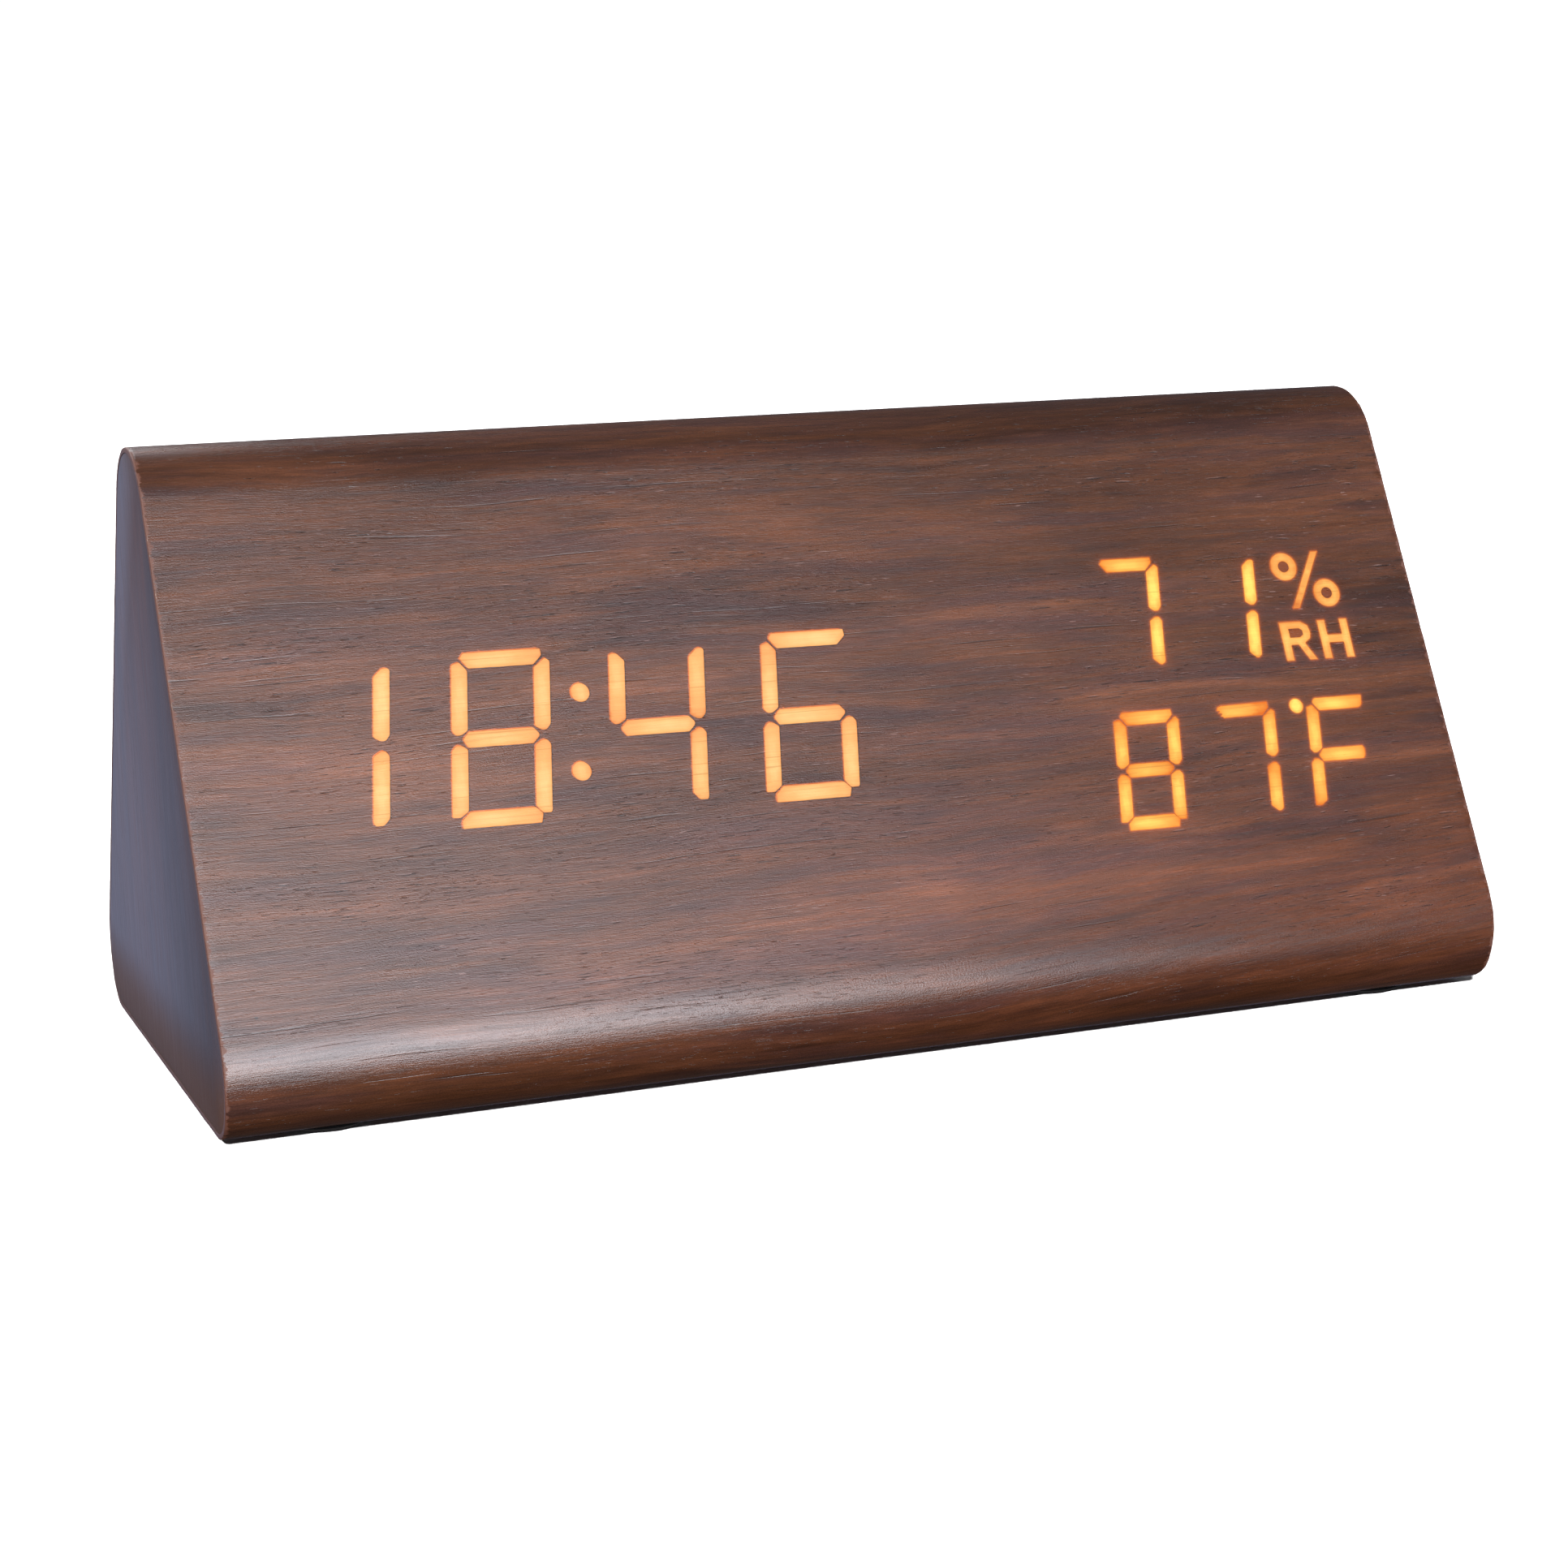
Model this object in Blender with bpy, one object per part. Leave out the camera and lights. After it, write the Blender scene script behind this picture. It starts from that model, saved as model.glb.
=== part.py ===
"""Wooden digital alarm clock: a hollow triangular wood body under walnut veneer, with a light display
behind the sloping front face and a black rear panel that holds the cells, the buttons and the main board.
Metres, +Z up. The origin is on the table under the middle of the body, the display faces -Y, and +X is the
right-hand end as seen from the front."""

import math

import bmesh
import bpy
from mathutils import Vector

mm = 0.001

# Gaps, cuts and the fineness of round shapes
seat_gap = 0.3 * mm
overrun = 1 * mm
weld_distance = 0.0001 * mm
sharp_angle = math.radians(30)
arc_steps = 8
top_arc_steps = 12
round_steps = 20
small_round_steps = 12
fine_hole_steps = 8

# Wooden body
body_length = 150 * mm
body_depth = 72 * mm
body_height = 69 * mm
corner_radius = 9 * mm
base_trim = 2 * mm
veneer_thickness = 0.6 * mm
front_wall = 9.1 * mm
rear_wall = 6 * mm
floor_wall = 4.1 * mm
end_wall = 4.1 * mm

# Feet
foot_radius = 5 * mm
foot_thickness = 0.7 * mm
foot_inset_x = 12 * mm
foot_inset_y = 10 * mm

# Display module, turned slightly in the face as it sits in the real one
display_drop = 0.84 * mm
display_turn = math.radians(-0.8)
module_inset_x = 1 * mm
module_height = 37 * mm
module_radius = 2 * mm
display_board_end_gap = 1 * mm
display_board_height = 46 * mm
display_screw_inset_x = 9 * mm
display_screw_inset = 2.3 * mm
board_thickness = 1.6 * mm
guide_plate_thickness = 0.8 * mm
guide_plate_margin = 0.6 * mm
window_clearance = 0.15 * mm
cup_width = 2.6 * mm
cup_end_gap = 1.6 * mm
diode_length = 1.6 * mm
diode_width = 0.8 * mm
diode_height = 0.6 * mm
digit_slant = 0.14

# Time row, placed from the body's left end
time_cell_width = 9.2 * mm
time_cell_height = 8.9 * mm
time_stroke = 1.95 * mm
time_first_inset = 16.7 * mm
time_pitch = 17.7 * mm
time_row_height = 0.2 * mm
colon_radius = 1.1 * mm

# Humidity and temperature rows, placed from the body's right end
small_cell_width = 6.8 * mm
small_cell_height = 6.25 * mm
small_stroke = 1.65 * mm
segment_gap = 0.6 * mm
humidity_first_inset = 38.5 * mm
humidity_pitch = 12.75 * mm
humidity_row_height = 9.4 * mm
temperature_first_inset = 40.15 * mm
temperature_pitch = 12.65 * mm
temperature_row_height = -9.4 * mm
degree_inset = 19.6 * mm
degree_height = -3.1 * mm
degree_radius = 0.9 * mm
percent_inset = 14.3 * mm
percent_height = 12.6 * mm
percent_ring_radius = 1.7 * mm
percent_ring_bore = 0.8 * mm
percent_ring_x = 2.5 * mm
percent_ring_rise = 1.8 * mm
percent_slash_length = 8.2 * mm
percent_slash_stroke = 0.9 * mm
percent_slash_angle = math.radians(60)
letter_width = 4.2 * mm
letter_height = 4.8 * mm
letter_first_inset = 17.1 * mm
letter_pitch = 5.3 * mm
letter_row_height = 4.7 * mm

# Rear panel
panel_width = 112 * mm
panel_height = 48 * mm
panel_radius = 4 * mm
panel_thickness = 2.4 * mm
panel_recess = 0.3 * mm
panel_ledge_side = 5 * mm
panel_ledge = 4 * mm
panel_screw_inset_x = 2.6 * mm
panel_screw_inset = 4 * mm

# Screws
screw_head_radius = 1.8 * mm
screw_head_height = 1 * mm
screw_shank_radius = 0.9 * mm
screw_shank_length = 7 * mm
screw_point_length = 1.5 * mm
screw_slot_width = 0.5 * mm
screw_slot_length = 2.2 * mm
screw_slot_depth = 0.6 * mm

# Cells and battery bay
cell_radius = 5.25 * mm
cell_length = 44.5 * mm
cell_nub_radius = 1.9 * mm
cell_nub_length = 0.9 * mm
cell_edge = 0.7 * mm
cell_spacing = 11 * mm
cell_count = 3
bay_side_gap = 1.05 * mm
bay_centre_x = -22.5 * mm
bay_wall = 2 * mm
bay_floor = 1.4 * mm
bay_rim = 0.9 * mm
bay_rib_width = 2.4 * mm
bay_rib_height = 2.2 * mm
contact_thickness = 0.4 * mm
contact_width = 9 * mm
contact_height = 9 * mm
contact_radius = 1 * mm
dimple_radius = 1.5 * mm
dimple_length = 0.7 * mm
spring_length = 4.1 * mm
spring_radius = 2.6 * mm
spring_tip_radius = 1.7 * mm
spring_wire_radius = 0.3 * mm
spring_turns = 3.5
spring_steps = 10

# Battery door
door_thickness = 2.2 * mm
door_pin_radius = 0.5 * mm
door_pin_length = 1.2 * mm
door_latch_width = 10 * mm
door_latch_depth = 2.5 * mm
door_latch_thickness = 1 * mm
door_grip_width = 14 * mm
door_grip_depth = 0.5 * mm
door_grip_height = 1.2 * mm
door_grip_pitch = 2.4 * mm
door_grip_count = 3
door_grip_inset = 4 * mm

# Main board and what it carries
main_board_x = 28.5 * mm
main_board_width = 38 * mm
main_board_height = 35 * mm
main_board_depth = 8.7 * mm
post_radius = 2.2 * mm
post_screw_length = 5 * mm
post_places = ((-15.5 * mm, 2.6 * mm), (6 * mm, -13.9 * mm))
button_names = ("up_button", "set_button", "down_button")
button_pitch = 12 * mm
button_height = 11 * mm
button_radius = 3 * mm
button_edge = 0.6 * mm
button_stand = 1 * mm
button_flange_radius = 4 * mm
button_flange_thickness = 1 * mm
button_stem_radius = 1.3 * mm
button_travel = 0.6 * mm
button_clearance = 0.3 * mm
switch_width = 6 * mm
switch_height = 3.5 * mm
inlet_width = 9 * mm
inlet_place = (-12 * mm, -8 * mm)
inlet_bore_radius = 1.75 * mm
inlet_bore_depth = 4.6 * mm
inlet_pin_radius = 0.6 * mm
inlet_hole_radius = 3.7 * mm
buzzer_radius = 4.5 * mm
buzzer_height = 5 * mm
buzzer_place = (2 * mm, -4 * mm)
sound_hole_radius = 0.7 * mm
sound_hole_spread = 2.6 * mm
sound_hole_count = 6
microphone_radius = 3 * mm
microphone_height = 5 * mm
microphone_place = (13.5 * mm, -10 * mm)
capsule_edge = 0.4 * mm
capsule_hole_radius = 0.8 * mm
sensor_width = 6 * mm
sensor_height = 5 * mm
sensor_place = (14 * mm, 1.2 * mm)
vent_length = 5 * mm
vent_width = 1 * mm
vent_pitch = 2 * mm
vent_count = 3
controller_width = 10 * mm
controller_height = 1.6 * mm
controller_place = (-4 * mm, 8 * mm)
crystal_radius = 1 * mm
crystal_length = 6 * mm
crystal_place = (10 * mm, 8 * mm)
driver_width = 8 * mm
driver_length = 18 * mm
driver_height = 2.2 * mm
driver_place = (12 * mm, -12 * mm)
socket_width = 14 * mm
socket_depth = 5 * mm
socket_height = 4 * mm
main_socket_height = -7 * mm
display_socket_height = -9 * mm
ribbon_width = 12 * mm
ribbon_thickness = 0.6 * mm
ribbon_reach = 9 * mm
ribbon_steps = 14

# Outlines of the small letters, as shares of their width and height
letter_h_share = (
    (0, 0), (0.22, 0), (0.22, 0.41), (0.78, 0.41), (0.78, 0), (1, 0),
    (1, 1), (0.78, 1), (0.78, 0.59), (0.22, 0.59), (0.22, 1), (0, 1),
)
letter_r_share = (
    (0, 0), (0.22, 0), (0.22, 0.4), (0.46, 0.4), (0.74, 0), (1, 0), (0.69, 0.42),
    (0.92, 0.52), (1, 0.7), (0.92, 0.9), (0.74, 1), (0, 1),
)
letter_r_counter_share = ((0.22, 0.57), (0.66, 0.57), (0.78, 0.7), (0.66, 0.83), (0.22, 0.83))

# Segments of a digit: centre as shares of the cell's width and height, and whether it lies flat
segment_share = {
    "a": (0, 1, True),
    "b": (0.5, 0.5, False),
    "c": (0.5, -0.5, False),
    "d": (0, -1, True),
    "e": (-0.5, -0.5, False),
    "f": (-0.5, 0.5, False),
    "g": (0, 0, True),
}
lit_segments = {"1": "bc", "4": "bcfg", "6": "acdefg", "7": "abc", "8": "abcdefg", "F": "aefg"}
all_segments = "abcdefg"

# What follows from the sizes above
seat_height = foot_thickness + seat_gap
lower_centre_y = body_depth / 2 - corner_radius
lower_centre_z = seat_height + corner_radius - base_trim
upper_centre_z = seat_height + body_height - corner_radius
face_rise = upper_centre_z - lower_centre_z
face_length = math.hypot(lower_centre_y, face_rise)
face_angle = math.atan2(face_rise, lower_centre_y)
face_foot_y = lower_centre_y + corner_radius * math.sin(face_angle)
face_foot_z = lower_centre_z + corner_radius * math.cos(face_angle)
core_inset = veneer_thickness + seat_gap
core_length = body_length - 2 * core_inset
cavity_length = core_length - 2 * end_wall
display_centre_height = face_length / 2 - display_drop
display_board_width = cavity_length - 2 * display_board_end_gap
module_width = display_board_width - 2 * module_inset_x
time_first_x = -body_length / 2 + time_first_inset
humidity_first_x = body_length / 2 - humidity_first_inset
temperature_first_x = body_length / 2 - temperature_first_inset
degree_x = body_length / 2 - degree_inset
percent_x = body_length / 2 - percent_inset
letter_first_x = body_length / 2 - letter_first_inset
guide_depth = core_inset
reflector_depth = guide_depth + guide_plate_thickness + seat_gap
reflector_thickness = core_inset + front_wall - reflector_depth
display_board_depth = core_inset + front_wall + seat_gap
panel_back = panel_recess + panel_thickness
bay_width = (cell_count - 1) * cell_spacing + 2 * (cell_radius + bay_side_gap)
bay_length = cell_length + spring_length + dimple_length + 2 * contact_thickness + 5 * seat_gap
bay_depth = panel_recess + door_thickness + 2 * seat_gap + 2 * cell_radius
cell_depth = panel_recess + door_thickness + seat_gap + cell_radius
bay_outer_length = bay_length + 2 * bay_wall
bay_outer_width = bay_width + 2 * bay_wall
door_opening_length = bay_length + 2 * bay_rim
door_opening_width = bay_width + 2 * bay_rim
door_pin_depth = panel_recess + door_thickness / 2
door_pin_height = -door_opening_width / 2 + seat_gap + door_thickness / 2
main_board_top = main_board_depth
main_board_back = main_board_depth + board_thickness
button_flange_depth = panel_back + seat_gap
switch_depth = main_board_top - seat_gap - switch_height
button_stem_end = switch_depth + button_travel

finishes = {
    "wood board": ((0.42, 0.30, 0.19), 0.85, 0.0),
    "walnut veneer": ((0.085, 0.045, 0.032), 0.45, 0.0),
    "foot rubber": ((0.03, 0.03, 0.03), 0.9, 0.0),
    "black plastic": ((0.025, 0.025, 0.027), 0.5, 0.0),
    "button plastic": ((0.05, 0.05, 0.055), 0.4, 0.0),
    "steel": ((0.55, 0.55, 0.56), 0.3, 1.0),
    "nickel": ((0.7, 0.68, 0.62), 0.25, 1.0),
    "circuit board": ((0.03, 0.16, 0.07), 0.45, 0.0),
    "reflector plastic": ((0.8, 0.8, 0.78), 0.5, 0.0),
    "orange light": ((1.0, 0.42, 0.08), 0.4, 0.0),
    "yellow light": ((1.0, 0.55, 0.09), 0.4, 0.0),
    "chip resin": ((0.02, 0.02, 0.022), 0.35, 0.0),
    "cell sleeve": ((0.09, 0.22, 0.42), 0.35, 0.2),
    "ribbon sleeve": ((0.5, 0.5, 0.52), 0.5, 0.0),
}


def clear_scene():
    for old in list(bpy.data.objects):
        bpy.data.objects.remove(old, do_unlink=True)


def material(name):
    """The material of one finish, made once."""
    found = bpy.data.materials.get(name)
    if found:
        return found
    colour, roughness, metallic = finishes[name]
    made = bpy.data.materials.new(name)
    made.use_nodes = True
    shader = made.node_tree.nodes["Principled BSDF"]
    shader.inputs["Base Color"].default_value = (*colour, 1)
    shader.inputs["Roughness"].default_value = roughness
    shader.inputs["Metallic"].default_value = metallic
    made.diffuse_color = (*colour, 1)
    return made


def add_object(name, shape, finish, parent=None, location=(0, 0, 0), rotation=(0, 0, 0), smooth=True):
    """An object from a bmesh with its finish, placed in its parent's frame."""
    bmesh.ops.recalc_face_normals(shape, faces=shape.faces)
    mesh = bpy.data.meshes.new(name)
    shape.to_mesh(mesh)
    shape.free()
    if smooth:
        mesh.shade_smooth()
        mesh.set_sharp_from_angle(angle=sharp_angle)
    mesh.materials.append(material(finish))
    made = bpy.data.objects.new(name, mesh)
    bpy.context.scene.collection.objects.link(made)
    made.parent = parent
    made.location = location
    made.rotation_euler = rotation
    return made


def add_frame(name, location, rotation, parent=None):
    """An empty whose x runs along a face, y up it and z out of it."""
    made = bpy.data.objects.new(name, None)
    bpy.context.scene.collection.objects.link(made)
    made.parent = parent
    made.location = location
    made.rotation_euler = rotation
    return made


def add_cutter(name, shape, parent=None, location=(0, 0, 0), rotation=(0, 0, 0)):
    made = add_object(name, shape, "black plastic", parent, location, rotation, smooth=False)
    made.hide_render = True
    made.display_type = "WIRE"
    return made


def combine(target, other, operation):
    change = target.modifiers.new(operation.lower() + " " + other.name, "BOOLEAN")
    change.operation = operation
    change.object = other


def extrude_outline(shape, outline, low, high):
    """A closed prism on the outline, from low to high along z."""
    base = shape.faces.new([shape.verts.new((x, y, low)) for x, y in outline])
    grown_part = bmesh.ops.extrude_face_region(shape, geom=[base])
    top = [item for item in grown_part["geom"] if isinstance(item, bmesh.types.BMVert)]
    bmesh.ops.translate(shape, verts=top, vec=(0, 0, high - low))


def prism(outline, low, high):
    shape = bmesh.new()
    extrude_outline(shape, outline, low, high)
    return shape


def turn_profile(shape, profile, steps, centre=(0, 0), closed=False):
    """A solid turned round z through centre. The profile holds (radius, z) pairs."""
    points = [shape.verts.new((radius, 0, z)) for radius, z in profile]
    pairs = list(zip(points, points[1:]))
    if closed:
        pairs.append((points[-1], points[0]))
    edges = [shape.edges.new(pair) for pair in pairs]
    bmesh.ops.spin(
        shape, geom=points + edges, cent=(0, 0, 0), axis=(0, 0, 1), angle=math.tau, steps=steps
    )
    bmesh.ops.remove_doubles(shape, verts=shape.verts, dist=weld_distance)
    bmesh.ops.translate(shape, verts=shape.verts, vec=(*centre, 0))


def turned(profile, steps=round_steps, closed=False):
    shape = bmesh.new()
    turn_profile(shape, profile, steps, closed=closed)
    return shape


def arc(centre, radius, start, end, steps):
    points = []
    for step in range(steps + 1):
        angle = start + (end - start) * step / steps
        points.append((centre[0] + radius * math.cos(angle), centre[1] + radius * math.sin(angle)))
    return points


def circle(centre, radius, steps=small_round_steps):
    return arc(centre, radius, 0, math.tau, steps)[:-1]


def rectangle(width, height, centre=(0, 0)):
    x, y = centre
    return [
        (x - width / 2, y - height / 2),
        (x + width / 2, y - height / 2),
        (x + width / 2, y + height / 2),
        (x - width / 2, y + height / 2),
    ]


def rounded_rectangle(width, height, radius, centre=(0, 0), steps=4):
    points = []
    corners = ((1, -1, -0.5), (1, 1, 0), (-1, 1, 0.5), (-1, -1, 1))
    for side, level, start_share in corners:
        corner = (
            centre[0] + side * (width / 2 - radius),
            centre[1] + level * (height / 2 - radius),
        )
        start = start_share * math.pi
        points += arc(corner, radius, start, start + math.pi / 2, steps)
    return points


def grown(outline, amount):
    """The outline with each side moved outwards by amount."""
    result = []
    for index, point in enumerate(outline):
        here = Vector(point)
        first = (here - Vector(outline[index - 1])).normalized()
        second = (Vector(outline[(index + 1) % len(outline)]) - here).normalized()
        first_normal = Vector((first.y, -first.x))
        second_normal = Vector((second.y, -second.x))
        reach = amount / (1 + first_normal.dot(second_normal))
        moved = here + (first_normal + second_normal) * reach
        result.append((moved.x, moved.y))
    return result


def body_section(inset):
    """The body's outline in y and z, moved inwards by inset, from the rear lower corner round the top."""
    radius = corner_radius - inset
    foot_angle = math.asin((lower_centre_z - seat_height - inset) / radius)
    face_normal = math.pi / 2 - face_angle
    rear = arc((lower_centre_y, lower_centre_z), radius, -foot_angle, face_normal, arc_steps)
    top = arc((0, upper_centre_z), radius, face_normal, math.pi - face_normal, top_arc_steps)
    front = arc(
        (-lower_centre_y, lower_centre_z), radius, math.pi - face_normal, math.pi + foot_angle, arc_steps
    )
    return rear + top + front


def along_body(name, outline, length, finish=None, centre=0):
    """A prism of an outline in y and z that runs along x. Without a finish it is a cutter."""
    place = {"location": (centre, 0, 0), "rotation": (math.pi / 2, 0, math.pi / 2)}
    shape = prism(outline, -length / 2, length / 2)
    if finish:
        return add_object(name, shape, finish, **place)
    return add_cutter(name, shape, **place)


def segment_outline(cell, stroke, letter):
    """One segment of a digit as a bar with pointed ends, upright, round the digit's centre."""
    width, height = cell
    across_share, up_share, flat = segment_share[letter]
    tip_gap = segment_gap / math.sqrt(2)
    reach = (width if flat else height) / 2 - tip_gap
    half = stroke / 2
    bar = [
        (-reach, 0), (-reach + half, -half), (reach - half, -half),
        (reach, 0), (reach - half, half), (-reach + half, half),
    ]
    if not flat:
        bar = [(-y, x) for x, y in bar]
    centre = (across_share * width, up_share * height)
    return [(centre[0] + x, centre[1] + y) for x, y in bar]


def slanted(outline, centre):
    """The outline leaned by the digits' slant and moved to its centre."""
    return [(centre[0] + x + digit_slant * y, centre[1] + y) for x, y in outline]


def digit_row(text, cell, stroke, first_x, pitch, height, start=0):
    """The lit segments of a row of digits, as outlines."""
    outlines = []
    for index, character in enumerate(text):
        centre = (first_x + (start + index) * pitch, height)
        for letter in lit_segments[character]:
            outlines.append(slanted(segment_outline(cell, stroke, letter), centre))
    return outlines


def letter_outline(share_table, index):
    left = letter_first_x + index * letter_pitch - letter_width / 2
    low = letter_row_height - letter_height / 2
    return [(left + x * letter_width, low + y * letter_height) for x, y in share_table]


def plate_outline(outlines, row_height):
    """The slanted plate that carries a group of light guides."""
    upright_x = [x - digit_slant * (y - row_height) for outline in outlines for x, y in outline]
    levels = [y for outline in outlines for _, y in outline]
    left = min(upright_x) - guide_plate_margin
    right = max(upright_x) + guide_plate_margin
    low = min(levels) - guide_plate_margin - row_height
    high = max(levels) + guide_plate_margin - row_height
    return slanted([(left, low), (right, low), (right, high), (left, high)], (0, row_height))


def display_groups():
    """Each group of lit marks: its name, its finish, its outlines, the bores in them and its row's height."""
    time_cell = (time_cell_width, time_cell_height)
    small_cell = (small_cell_width, small_cell_height)
    hours = digit_row("18", time_cell, time_stroke, time_first_x, time_pitch, time_row_height)
    minutes = digit_row("46", time_cell, time_stroke, time_first_x, time_pitch, time_row_height, start=2)
    colon_x = time_first_x + time_pitch * 1.5
    colon = [
        circle((colon_x + digit_slant * rise, time_row_height + rise), colon_radius)
        for rise in (time_cell_height / 2, -time_cell_height / 2)
    ]
    humidity = digit_row(
        "71", small_cell, small_stroke, humidity_first_x, humidity_pitch, humidity_row_height
    )
    rings = []
    ring_bores = []
    for side in (1, -1):
        centre = (percent_x - side * percent_ring_x, percent_height + side * percent_ring_rise)
        rings.append(circle(centre, percent_ring_radius))
        ring_bores.append(circle(centre, percent_ring_bore))
    slash_run = percent_slash_length / 2 * math.cos(percent_slash_angle)
    slash_rise = percent_slash_length / 2 * math.sin(percent_slash_angle)
    slash_side = percent_slash_stroke / 2 / math.sin(percent_slash_angle)
    slash = [
        (percent_x - slash_run - slash_side, percent_height - slash_rise),
        (percent_x - slash_run + slash_side, percent_height - slash_rise),
        (percent_x + slash_run + slash_side, percent_height + slash_rise),
        (percent_x + slash_run - slash_side, percent_height + slash_rise),
    ]
    letters = [letter_outline(letter_r_share, 0), letter_outline(letter_h_share, 1)]
    letter_bore = letter_outline(letter_r_counter_share, 0)
    temperature = digit_row(
        "87", small_cell, small_stroke, temperature_first_x, temperature_pitch, temperature_row_height
    )
    scale_letter = digit_row(
        "F", small_cell, small_stroke, temperature_first_x, temperature_pitch, temperature_row_height,
        start=2,
    )
    degree_dot = circle((degree_x, degree_height), degree_radius)
    return (
        ("hour_digits", "orange light", hours, [], time_row_height),
        ("colon_dots", "orange light", colon, [], time_row_height),
        ("minute_digits", "orange light", minutes, [], time_row_height),
        ("humidity_digits", "yellow light", humidity, [], humidity_row_height),
        ("humidity_unit", "orange light", rings + [slash] + letters, ring_bores + [letter_bore],
         humidity_row_height),
        ("temperature_digits", "yellow light", temperature, [], temperature_row_height),
        ("temperature_unit", "yellow light", [degree_dot] + scale_letter, [], temperature_row_height),
    )


def every_segment():
    """The centre and direction of each segment that the display has, lit or not."""
    rows = (
        (4, (time_cell_width, time_cell_height), time_first_x, time_pitch, time_row_height),
        (2, (small_cell_width, small_cell_height), humidity_first_x, humidity_pitch, humidity_row_height),
        (3, (small_cell_width, small_cell_height), temperature_first_x, temperature_pitch,
         temperature_row_height),
    )
    for count, (width, height), first_x, pitch, row_height in rows:
        for index in range(count):
            for letter in all_segments:
                across_share, up_share, flat = segment_share[letter]
                x = across_share * width
                y = up_share * height
                centre = (first_x + index * pitch + x + digit_slant * y, row_height + y)
                yield centre, flat, (width if flat else height)


def add_screw(name, mesh, parent, place, head_top):
    """A copy of the screw, its head's top at the depth head_top below the face."""
    made = bpy.data.objects.new(name, mesh)
    bpy.context.scene.collection.objects.link(made)
    made.parent = parent
    made.location = (place[0], place[1], -head_top)
    return made


def screw_mesh(name, shank_length):
    """A cross-head screw along z, the top of its head at the origin."""
    profile = [
        (0, -screw_head_height - shank_length),
        (screw_shank_radius, -screw_head_height - shank_length + screw_point_length),
        (screw_shank_radius, -screw_head_height),
        (screw_head_radius, -screw_head_height),
        (screw_head_radius, -screw_head_height / 2),
        (screw_head_radius - screw_head_height / 2, 0),
        (0, 0),
    ]
    blank = add_object(name + "_blank", turned(profile, small_round_steps), "steel")
    half_slot = screw_slot_width / 2
    half_length = screw_slot_length / 2
    cross = [
        (-half_length, -half_slot), (-half_slot, -half_slot), (-half_slot, -half_length),
        (half_slot, -half_length), (half_slot, -half_slot), (half_length, -half_slot),
        (half_length, half_slot), (half_slot, half_slot), (half_slot, half_length),
        (-half_slot, half_length), (-half_slot, half_slot), (-half_length, half_slot),
    ]
    cutter = add_cutter(name + "_slot", prism(cross, -screw_slot_depth, overrun))
    combine(blank, cutter, "DIFFERENCE")
    bpy.context.view_layer.update()
    graph = bpy.context.evaluated_depsgraph_get()
    mesh = bpy.data.meshes.new_from_object(blank.evaluated_get(graph))
    mesh.name = name
    bpy.data.objects.remove(blank, do_unlink=True)
    bpy.data.objects.remove(cutter, do_unlink=True)
    return mesh


def pilot_hole(shape, place, low, high):
    """A hole for a screw's shank, added to a cutter's shape."""
    extrude_outline(shape, circle(place, screw_shank_radius + seat_gap), low, high)


# Frames of the sloping faces
clear_scene()
front_face = add_frame("front_face", (0, -face_foot_y, face_foot_z), (face_angle, 0, 0))
rear_face = add_frame("rear_face", (0, face_foot_y, face_foot_z), (face_angle, 0, math.pi))
display_face = add_frame(
    "display_face", (0, display_centre_height, 0), (0, 0, display_turn), front_face
)
panel_face = add_frame("panel_face", (0, face_length / 2, 0), (0, 0, 0), rear_face)

panel_screw_mesh = screw_mesh("panel_screw", screw_shank_length)
post_screw_mesh = screw_mesh("post_screw", post_screw_length)


def panel_screw_places():
    x = panel_width / 2 - panel_screw_inset_x
    y = panel_height / 2 - panel_screw_inset
    return [(side * x, level * y) for level in (-1, 1) for side in (-1, 1)]


def display_screw_places():
    x = display_board_width / 2 - display_screw_inset_x
    y = display_board_height / 2 - display_screw_inset
    return [(side * x, level * y) for level in (-1, 1) for side in (-1, 1)]


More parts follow.
